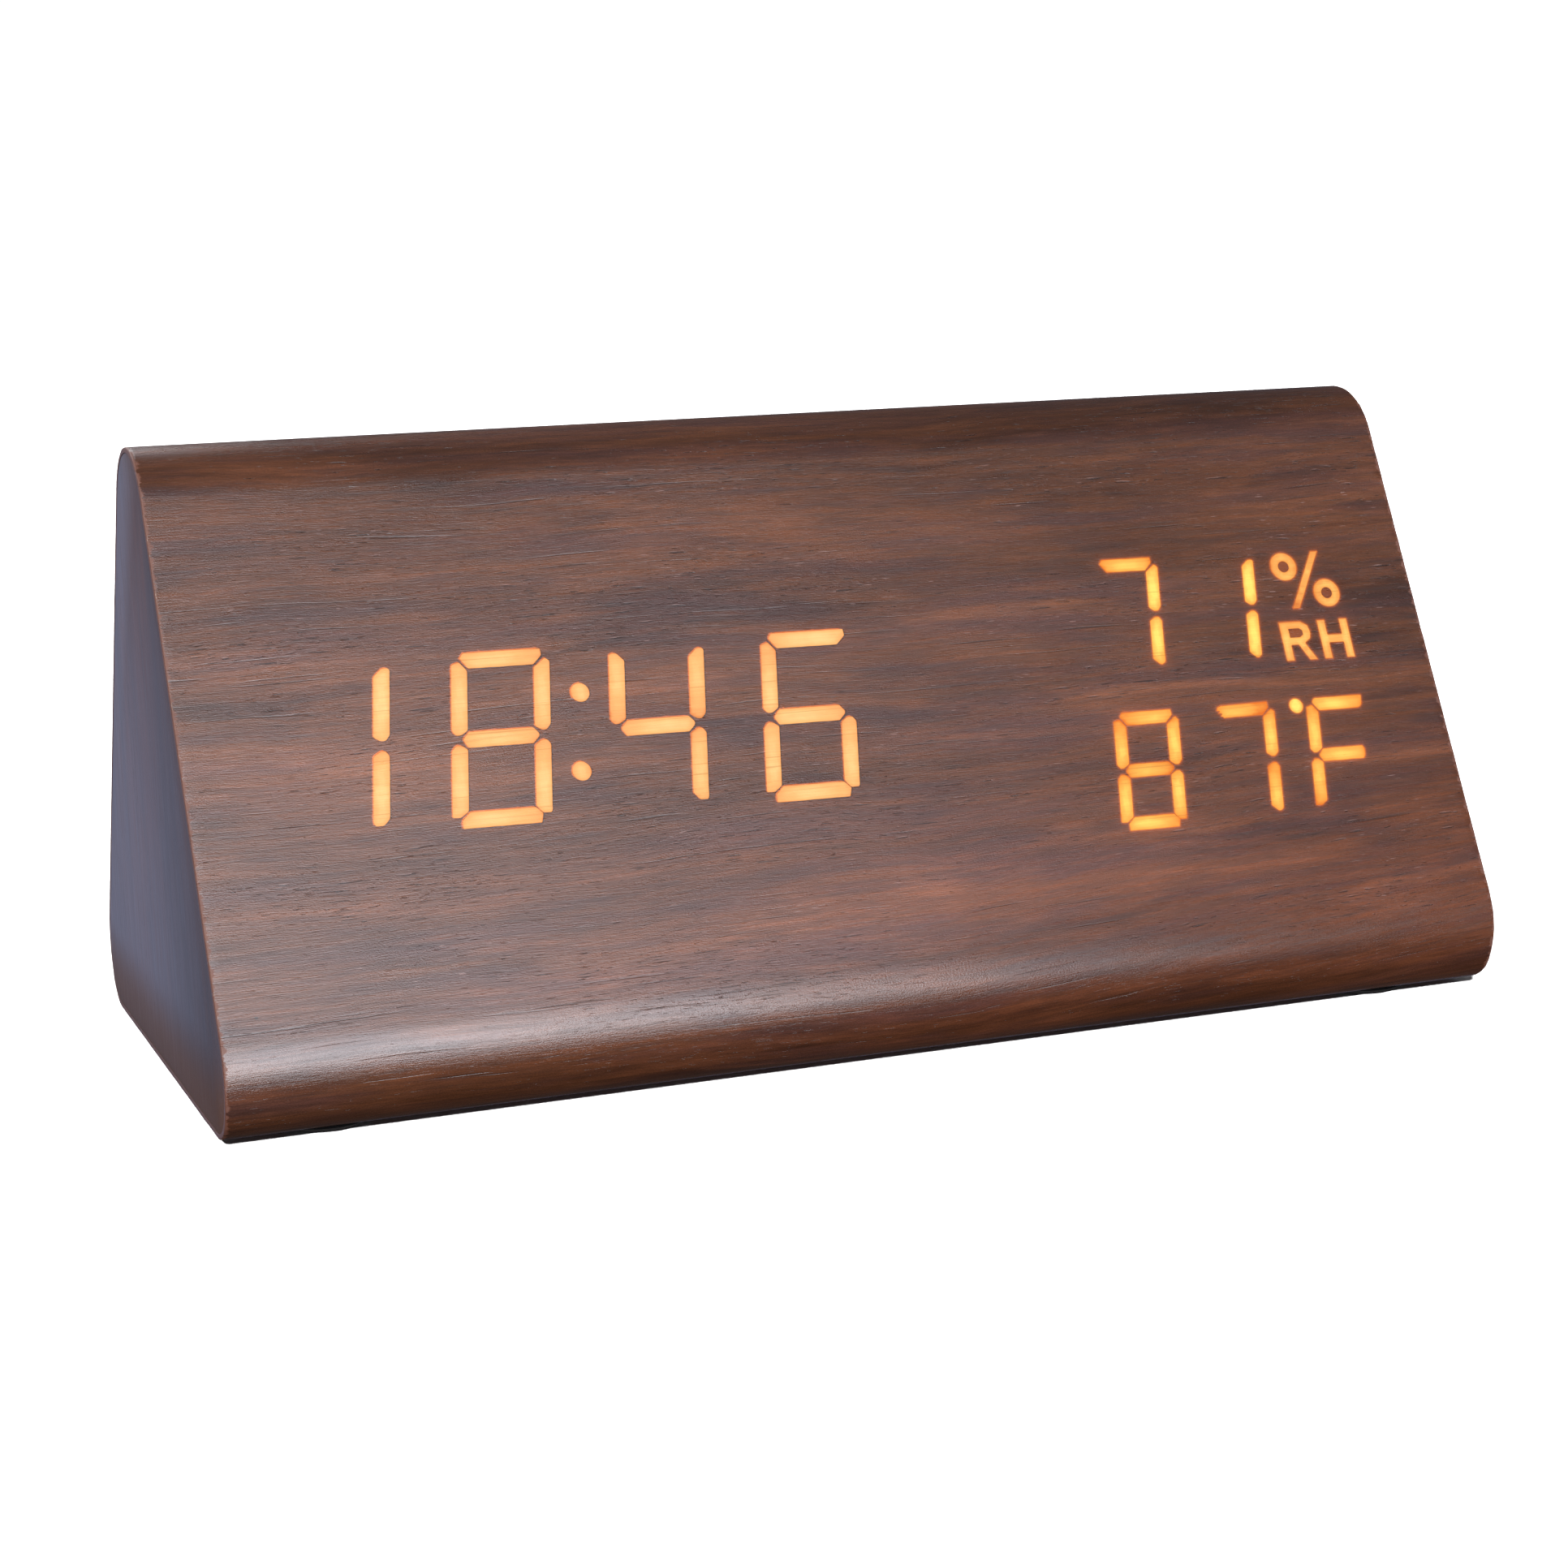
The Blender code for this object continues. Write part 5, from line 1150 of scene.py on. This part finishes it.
# end veneers sit between the wrap's long edges
endSheet = {
    "edgeGap": 0.02,
    "ease": 0.08,
    "outer": 0.02,
    "steps": {"lowFront": 24, "front": 12, "top": 40, "rear": 12, "lowRear": 24},
    "cornerSteps": 6,
}


def makeEndSheet(name, side, node):
    depth = clock["veneer"] + endSheet["edgeGap"]
    section = []
    for region, count in endSheet["steps"].items():
        low, high = stations[region]
        section += [sectionPoint(region, low + (high - low) * i / count, depth) for i in range(count)]
    count = endSheet["cornerSteps"]
    for region, corner, steps in (("baseRear", stations["lowRear"][1], range(count + 1)),
                                  ("baseFront", stations["lowFront"][0], range(-count, 0))):
        section += [sectionPoint(region, corner + wrap["baseEase"] * i / count, depth) for i in steps]
    if signedArea(section) < 0:
        section = section[::-1]
    ease = endSheet["ease"]
    layers = [(halfLength - clock["veneer"], section), (halfLength - ease, section),
              (halfLength - endSheet["outer"], moved(section, -ease))]
    verts, faces = [], []
    for x, loop in layers:
        verts += [(side * x, y, z) for y, z in loop]
    count = len(section)
    for low in (0, count):
        for i in range(count):
            j = (i + 1) % count
            faces.append([low + i, low + j, low + count + j, low + count + i])
    faces += [list(range(2 * count, 3 * count)), list(range(count))[::-1]]
    if side < 0:
        faces = [face[::-1] for face in faces]
    addPiece(name, finishMesh(name, verts, faces, endMaterial, 40), "clock_body", "walnut_veneer", node)


makeEndSheet("left_end_sheet", -1, "left_end_veneer")
makeEndSheet("right_end_sheet", 1, "right_end_veneer")
print("end sheets ready")


def lathed(profile, steps, centre):
    # closed surface turned round an upright axis, profile from the axis outwards and back to it
    verts, faces = [], []
    rings = []
    for radius, height in profile:
        if radius == 0:
            rings.append([len(verts)] * steps)
            verts.append((centre[0], centre[1], centre[2] + height))
        else:
            rings.append([len(verts) + i for i in range(steps)])
            verts += [(x, y, centre[2] + height) for x, y in circle(centre, radius, steps)]
    for low, high in zip(rings, rings[1:]):
        for i in range(steps):
            j = (i + 1) % steps
            face = []
            for index in (low[i], low[j], high[j], high[i]):
                if index not in face:
                    face.append(index)
            faces.append(face)
    return verts, faces


# finishes for the pieces that keep the solids' own shapes
def plainPlastic(name, colour, roughness, grainSize, bump, variation=0.12):
    made, tree, surface = startMaterial(name, Roughness=roughness)
    place = objectPoint(tree)
    factor = spread(tree, noiseAt(tree, place, (0.12, 0.12, 0.12), 3.0), 1 - variation, 1 + variation)
    tree.links.new(shaded(tree, colour, factor, factor, factor), surface.inputs["Base Color"])
    bumped(tree, surface, noiseAt(tree, place, (grainSize,) * 3, 2.0), bump)
    return made


def metalFinish(name, colour, roughness, stretch):
    made, tree, surface = startMaterial(name, Metallic=1.0)
    brush = noiseAt(tree, objectPoint(tree), stretch, 3.0, 0.6)
    tree.links.new(spread(tree, brush, roughness - 0.07, roughness + 0.1), surface.inputs["Roughness"])
    factor = spread(tree, brush, 0.86, 1.1)
    tree.links.new(shaded(tree, colour, factor, factor, factor), surface.inputs["Base Color"])
    bumped(tree, surface, brush, 0.00001)
    return made


def boardFinish():
    # fibreboard: short pale and dark fibres in every direction
    made, tree, surface = startMaterial("fibreBoard", Roughness=0.85)
    place = objectPoint(tree)
    coarse = noiseAt(tree, place, (1.6, 3.2, 3.2), 4.0, 0.65, 0.6)
    colour = ramp(tree, coarse, ((0.3, (0.26, 0.17, 0.10)), (0.5, (0.42, 0.30, 0.19)), (0.7, (0.55, 0.42, 0.29))))
    tree.links.new(colour, surface.inputs["Base Color"])
    bumped(tree, surface, coarse, 0.00008)
    return made


def circuitFinish():
    # solder mask over copper tracks that run in steps, with round pads
    made, tree, surface = startMaterial("circuitBoard", Roughness=0.32)
    place = objectPoint(tree)
    trackPlace = vectorCalc(tree, "MULTIPLY", place, (0.42, 0.0, 0.9))
    tracks = addNode(tree, "TexBrick", {"Vector": trackPlace, "Scale": 1.0, "Mortar Size": 0.05, "Brick Width": 1.7,
                                        "Row Height": 0.5})
    padPlace = vectorCalc(tree, "MULTIPLY", place, (0.35, 0.35, 0.35))
    pads = addNode(tree, "TexVoronoi", {"Vector": padPlace, "Scale": 1.0})
    pads = ranged(tree, pads.outputs["Distance"], 0.12, 0.16, 1.0, 0.0)
    copper = calc(tree, "MAXIMUM", tracks.outputs["Fac"], pads)
    colour = blended(tree, copper, (0.010, 0.085, 0.035), (0.030, 0.19, 0.075))
    tree.links.new(colour, surface.inputs["Base Color"])
    bumped(tree, surface, copper, 0.00004)
    return made


def sleeveFinish():
    # a plain blue sleeve; both ends are bare metal
    made, tree, surface = startMaterial("cellSleeve")
    place = objectPoint(tree)
    wear = noiseAt(tree, place, (0.5, 2.0, 2.0), 3.0)
    colour = ramp(tree, wear, ((0.3, (0.03, 0.11, 0.26)), (0.7, (0.06, 0.18, 0.38))))
    along = addNode(tree, "SeparateXYZ", {0: place}).outputs[0]
    fromMiddle = calc(tree, "ABSOLUTE", calc(tree, "SUBTRACT", along, 22.5))
    stripe = product(tree, ranged(tree, fromMiddle, 14.9, 15.0), ranged(tree, fromMiddle, 17.6, 17.5))
    colour = blended(tree, stripe, colour, (0.72, 0.73, 0.74))
    bare = ranged(tree, fromMiddle, 20.9, 21.0)
    tree.links.new(blended(tree, bare, colour, (0.66, 0.64, 0.60)), surface.inputs["Base Color"])
    tree.links.new(ranged(tree, bare, 0.0, 1.0, 0.15, 1.0), surface.inputs["Metallic"])
    tree.links.new(spread(tree, wear, 0.24, 0.34), surface.inputs["Roughness"])
    return made


def ribbonFinish():
    made, tree, surface = startMaterial("ribbonSleeve", Roughness=0.45)
    place = addNode(tree, "SeparateXYZ", {0: objectPoint(tree)}).outputs[0]
    ridge = calc(tree, "SINE", product(tree, place, math.tau / 1.27))
    # painted shade: the colour runs from dark grey in the grooves to light grey on the ridges
    colour = blended(tree, ranged(tree, ridge, -1.0, 1.0), (0.28, 0.28, 0.30), (0.55, 0.55, 0.57))
    tree.links.new(colour, surface.inputs["Base Color"])
    bumped(tree, surface, ridge, 0.0001)
    return made


finishes = {
    "woodBoard": boardFinish(),
    "blackPlastic": plainPlastic("blackPlastic", (0.028, 0.028, 0.030), 0.46, 6.0, 0.00006),
    "buttonPlastic": plainPlastic("buttonPlastic", (0.050, 0.050, 0.054), 0.32, 6.0, 0.00001),
    "footRubber": plainPlastic("footRubber", (0.018, 0.018, 0.018), 0.85, 3.0, 0.00004, 0.2),
    "whitePlastic": plainPlastic("whitePlastic", (0.78, 0.78, 0.75), 0.45, 4.0, 0.00002, 0.04),
    "chipResin": plainPlastic("chipResin", (0.016, 0.016, 0.018), 0.5, 9.0, 0.00002),
    "markPlastic": plainPlastic("markPlastic", (0.42, 0.42, 0.43), 0.5, 6.0, 0.00001, 0.05),
    "steel": metalFinish("screwSteel", (0.50, 0.50, 0.52), 0.28, (3.0, 3.0, 3.0)),
    "nickel": metalFinish("contactNickel", (0.68, 0.66, 0.60), 0.24, (4.0, 0.8, 0.8)),
    "circuit": circuitFinish(),
    "sleeve": sleeveFinish(),
    "ribbon": ribbonFinish(),
}
finishOf = {"wood_core": "woodBoard", "display_reflector": "whitePlastic", "air_sensor": "whitePlastic",
            "main_ribbon_socket": "whitePlastic", "display_ribbon_socket": "whitePlastic", "ribbon_cable": "ribbon",
            "display_board": "circuit", "main_board": "circuit", "display_driver": "chipResin",
            "microcontroller": "chipResin", "buzzer": "chipResin", "microphone": "nickel", "clock_crystal": "nickel",
            "rear_panel": "blackPlastic", "battery_door": "blackPlastic", "power_inlet": "blackPlastic"}
for name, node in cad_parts.items():
    if name.endswith("_foot"):
        finish = "footRubber"
    elif "_screw_" in name:
        finish = "steel"
    elif name.startswith("battery_cell"):
        finish = "sleeve"
    elif name.startswith("battery_spring") or name.endswith("_contact"):
        finish = "nickel"
    elif name.endswith("_button"):
        finish = "buttonPlastic"
    elif name.endswith("_switch"):
        finish = "chipResin"
    else:
        finish = finishOf.get(name)
    if finish:
        node.data.materials.clear()
        node.data.materials.append(finishes[finish])
print("finishes set on the carried solids")

# rubber feet, domed so that they narrow towards the floor
foot = {
    "x": 63.0,
    "y": 26.0,
    "profile": ((0, 0.0), (2.3, 0.0), (2.9, 0.03), (3.5, 0.11), (4.1, 0.25), (4.6, 0.44), (4.9, 0.62), (4.95, 0.70),
                (0, 0.70)),
}
for face, level in (("front", -1), ("rear", 1)):
    for end, side in (("left", -1), ("right", 1)):
        name = face + "_" + end + "_foot"
        verts, faces = lathed(foot["profile"], 48, (side * foot["x"], level * foot["y"], 0.0))
        mesh = finishMesh("dome_" + name, verts, faces, finishes["footRubber"])
        addPiece("dome_" + name, mesh, "clock_body", "foot_rubber", name)
print("feet ready")

# raised marks on the rear panel, in the panel's own x and y
panelMarks = {
    "surface": -0.30,
    "rise": 0.16,
    "sunk": 0.06,
    "ease": 0.05,
    "buttonX": (16.5, 28.5, 40.5),
    "buttonRow": 16.8,
    "inlet": (16.5, -14.6),
}


def arrow(centre, size, up):
    level = 1 if up else -1
    loop = [(-size, -0.55 * size * level), (size, -0.55 * size * level), (0.0, 0.75 * size * level)]
    loop = [(centre[0] + x, centre[1] + y) for x, y in loop]
    return softened(loop if signedArea(loop) > 0 else loop[::-1], 0.18)


def bar(centre, width, height):
    x, y = width / 2, height / 2
    return softened([(centre[0] + a, centre[1] + b) for a, b in ((-x, -y), (x, -y), (x, y), (-x, y))], 0.1)


def makePanelMarks():
    ease = panelMarks["ease"]
    low, high = panelMarks["surface"] - panelMarks["sunk"], panelMarks["surface"] + panelMarks["rise"]
    upX, setX, downX = panelMarks["buttonX"]
    row = panelMarks["buttonRow"]
    ix, iy = panelMarks["inlet"]
    # a plus from its lower left, as steps outwards from its middle
    arm, thin = 0.55, 0.12
    plus = [(-arm, -thin), (-thin, -thin), (-thin, -arm), (thin, -arm), (thin, -thin), (arm, -thin), (arm, thin),
            (thin, thin), (thin, arm), (-thin, arm), (-thin, thin), (-arm, thin)]
    shapes = [
        (arrow((upX, row), 1.0, True), None),
        (circle((setX, row), 0.95, 32), circle((setX, row), 0.55, 24)),
        (arrow((downX, row), 1.0, False), None),
        # polarity of the inlet: plus, pin, minus
        (circle((ix, iy), 0.95, 32), circle((ix, iy), 0.62, 24)),
        (circle((ix, iy), 0.28, 16), None),
        (bar((ix - 1.6, iy), 1.1, 0.22), None),
        (bar((ix + 1.6, iy), 1.1, 0.22), None),
        (bar((ix - 3.1, iy), 1.1, 0.24), None),
        (softened([(ix + 3.15 + x, iy + y) for x, y in plus], 0.04), None),
    ]
    verts, faces = [], []

    def lay(flat, height):
        first = len(verts)
        verts.extend(tuple(panelFace @ Vector((float(p[0]), float(p[1]), height))) for p in flat)
        return first

    for outer, bore in shapes:
        top, triangles = filled([moved(outer, -ease)], [moved(bore, ease)] if bore else [])
        first = lay(top, high)
        faces.extend([first + i for i in face] for face in triangles)
        base, triangles = filled([outer], [bore] if bore else [])
        first = lay(base, low)
        faces.extend([first + i for i in face[::-1]] for face in triangles)
        for loop, sign in ((outer, -1), (bore, 1)):
            if not loop:
                continue
            rings = [lay(loop, low), lay(loop, high - ease), lay(moved(loop, sign * ease), high)]
            for lower, upper in zip(rings, rings[1:]):
                for i in range(len(loop)):
                    j = (i + 1) % len(loop)
                    quad = [lower + i, lower + j, upper + j, upper + i]
                    faces.append(quad if sign < 0 else quad[::-1])
    mesh = finishMesh("panel_marks", verts, faces, finishes["markPlastic"], 30)
    welded = bmesh.new()
    welded.from_mesh(mesh)
    bmesh.ops.remove_doubles(welded, verts=welded.verts, dist=0.000002)
    welded.to_mesh(mesh)
    welded.free()
    addPiece("panel_marks", mesh, "clock_body", "white_plastic")


makePanelMarks()
easedEdges = {"rear_panel": 0.22, "battery_door": 0.20, "power_inlet": 0.12, "up_button": 0.15, "set_button": 0.15,
              "down_button": 0.15, "wood_core": 0.2}
for name, width in easedEdges.items():
    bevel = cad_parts[name].modifiers.new("easedEdges", "BEVEL")
    bevel.width = width * mm
    bevel.segments = 2
    bevel.limit_method = "ANGLE"
    bevel.angle_limit = math.radians(40)
print("rear details ready")

studio = {
    "floorSize": 6.0,
    "floorColour": 0.80,
    "lowStrip": {"azimuth": -2.0, "elevation": 1.0, "distance": 1.1, "size": (0.98, 0.42), "radiance": 6.4,
                 "colour": (0.90, 0.93, 1.0)},
    "upperPanel": {"azimuth": -3.5, "elevation": 26.5, "distance": 1.1, "size": (0.94, 0.56), "radiance": 4.85,
                   "colour": (0.90, 0.92, 1.0), "turn": -15.0},
    "sideKey": {"azimuth": -60.0, "elevation": 35.0, "distance": 1.2, "size": (0.5, 0.5), "radiance": 7.0,
                "colour": (1.0, 0.97, 0.93)},
    "rearFill": {"azimuth": 200.0, "elevation": 34.0, "distance": 1.2, "size": (0.9, 0.6), "radiance": 4.6,
                 "colour": (0.94, 0.95, 1.0)},
    "floorSun": {"azimuth": -21.0, "elevation": 25.0, "strength": 14.0, "spread": 3.0},
    "floorFill": {"azimuth": 200.0, "elevation": 45.0, "strength": 3.2, "spread": 30.0},
}
# light from all round, from straight below to straight above
surround = {
    "front": ((0.0, (0.085, 0.036, 0.014)), (0.50, (0.045, 0.032, 0.025)), (0.60, (0.06, 0.058, 0.06)),
              (0.80, (0.07, 0.07, 0.073)), (1.0, (0.09, 0.09, 0.095))),
    "rear": ((0.0, (0.045, 0.030, 0.024)), (0.27, (0.06, 0.05, 0.05)), (0.36, (0.43, 0.50, 0.76)),
             (0.51, (0.47, 0.54, 0.82)), (0.545, (0.09, 0.09, 0.11)), (0.80, (0.07, 0.07, 0.08)),
             (1.0, (0.12, 0.12, 0.125))),
    # from where to where front turns to rear
    "turn": (-0.15, 0.35),
    "backdrop": 1.05,
}
camera = {
    "place": (-127.74, -332.91, 91.06),
    "target": (-4.67, -11.69, 28.59),
    "roll": -0.0281,
    "lens": 70.06,
}
focus = Vector((0.0, 0.0, 0.035))


def wayTo(azimuth, elevation):
    # azimuth runs to the right of the front, in degrees
    a, e = math.radians(azimuth), math.radians(elevation)
    return Vector((math.sin(a) * math.cos(e), -math.cos(a) * math.cos(e), math.sin(e)))


def makeFloor():
    shape = bmesh.new()
    steps = 64
    rings = [[shape.verts.new((x, y, 0)) for x, y in circle((0, 0), radius, steps)]
             for radius in (0.25, 0.6, studio["floorSize"] / 2)]
    shape.faces.new(rings[0])
    for inner, outer in zip(rings, rings[1:]):
        for i in range(steps):
            j = (i + 1) % steps
            shape.faces.new((inner[i], outer[i], outer[j], inner[j]))
    mesh = bpy.data.meshes.new("studio_floor")
    shape.to_mesh(mesh)
    shape.free()
    made = bpy.data.objects.new("studio_floor", mesh)
    bpy.context.scene.collection.objects.link(made)
    material, tree, surface = startMaterial("paleFloor", Roughness=0.9, Specular_IOR_Level=0.0)
    dust = noiseAt(tree, objectPoint(tree), (0.01, 0.01, 0.01), 2.0)
    level = studio["floorColour"]
    tree.links.new(ramp(tree, dust, ((0.3, (level,) * 3), (0.7, (level * 1.04,) * 3))), surface.inputs["Base Color"])
    mesh.materials.append(material)
    made.visible_diffuse = False
    made.visible_glossy = False
    made.visible_shadow = False
    return made


def addSoftbox(name, azimuth, elevation, distance, size, radiance, colour, turn=0.0):
    way = wayTo(azimuth, elevation)
    lamp = bpy.data.lights.new(name, "AREA")
    lamp.shape = "RECTANGLE"
    lamp.size, lamp.size_y = size
    lamp.energy = radiance * size[0] * size[1] * math.pi
    lamp.color = colour
    made = bpy.data.objects.new(name, lamp)
    bpy.context.scene.collection.objects.link(made)
    made.location = focus + way * distance
    aimed = (-way).to_track_quat("-Z", "Y") @ Quaternion((0, 0, 1), math.radians(turn))
    made.rotation_euler = aimed.to_euler()
    made.visible_camera = False
    return made


def addFloorSun(name, azimuth, elevation, strength, spread):
    way = wayTo(azimuth, elevation)
    lamp = bpy.data.lights.new(name, "SUN")
    lamp.energy = strength
    lamp.angle = math.radians(spread)
    made = bpy.data.objects.new(name, lamp)
    bpy.context.scene.collection.objects.link(made)
    made.location = focus + way * 2
    made.rotation_euler = (-way).to_track_quat("-Z", "Y").to_euler()
    return made


def linkLight(lamp, floor, state):
    # INCLUDE keeps a lamp to the floor, EXCLUDE keeps it off the floor
    group = bpy.data.collections.new(lamp.name + "Targets")
    group.objects.link(floor)
    lamp.light_linking.receiver_collection = group
    group.collection_objects[0].light_linking.link_state = state


def makeWorld():
    world = bpy.data.worlds.new("studioSurround")
    bpy.context.scene.world = world
    world.use_nodes = True
    tree = world.node_tree
    tree.nodes.clear()
    way = addNode(tree, "TexCoord").outputs["Generated"]
    split = addNode(tree, "SeparateXYZ", {0: way})
    height = ranged(tree, split.outputs[2], -1.0, 1.0)
    front, rear = (ramp(tree, height, surround[side]) for side in ("front", "rear"))
    rearness = ranged(tree, split.outputs[1], *surround["turn"], 0.0, 1.0, True)
    light = addNode(tree, "Background", {"Color": blended(tree, rearness, front, rear), "Strength": 1.0})
    white = addNode(tree, "Background", {"Color": (1, 1, 1, 1), "Strength": surround["backdrop"]})
    seen = addNode(tree, "LightPath").outputs["Is Camera Ray"]
    mixed = addNode(tree, "MixShader", {0: seen, 1: light.outputs[0], 2: white.outputs[0]})
    addNode(tree, "OutputWorld", {"Surface": mixed.outputs[0]})


def makeCamera():
    place, target = Vector(camera["place"]) * mm, Vector(camera["target"]) * mm
    roll = camera["roll"]
    forward = (target - place).normalized()
    right = forward.cross(Vector((0, 0, 1))).normalized()
    up = right.cross(forward)
    sideways = right * math.cos(roll) + up * math.sin(roll)
    upwards = up * math.cos(roll) - right * math.sin(roll)
    data = bpy.data.cameras.new("camera")
    data.sensor_width = 36
    data.lens = camera["lens"]
    data.clip_start = 0.01
    made = bpy.data.objects.new("camera", data)
    bpy.context.scene.collection.objects.link(made)
    turn = Matrix((sideways, upwards, -forward)).transposed().to_4x4()
    made.matrix_world = Matrix.Translation(place) @ turn
    bpy.context.scene.camera = made


floor = makeFloor()
for name in ("lowStrip", "upperPanel", "sideKey", "rearFill"):
    linkLight(addSoftbox(name, **studio[name]), floor, "EXCLUDE")
for name in ("floorSun", "floorFill"):
    linkLight(addFloorSun(name, **studio[name]), floor, "INCLUDE")
makeWorld()
makeCamera()
bpy.context.scene.view_settings.view_transform = "Standard"
bpy.context.scene.view_settings.look = "None"
print("studio ready")
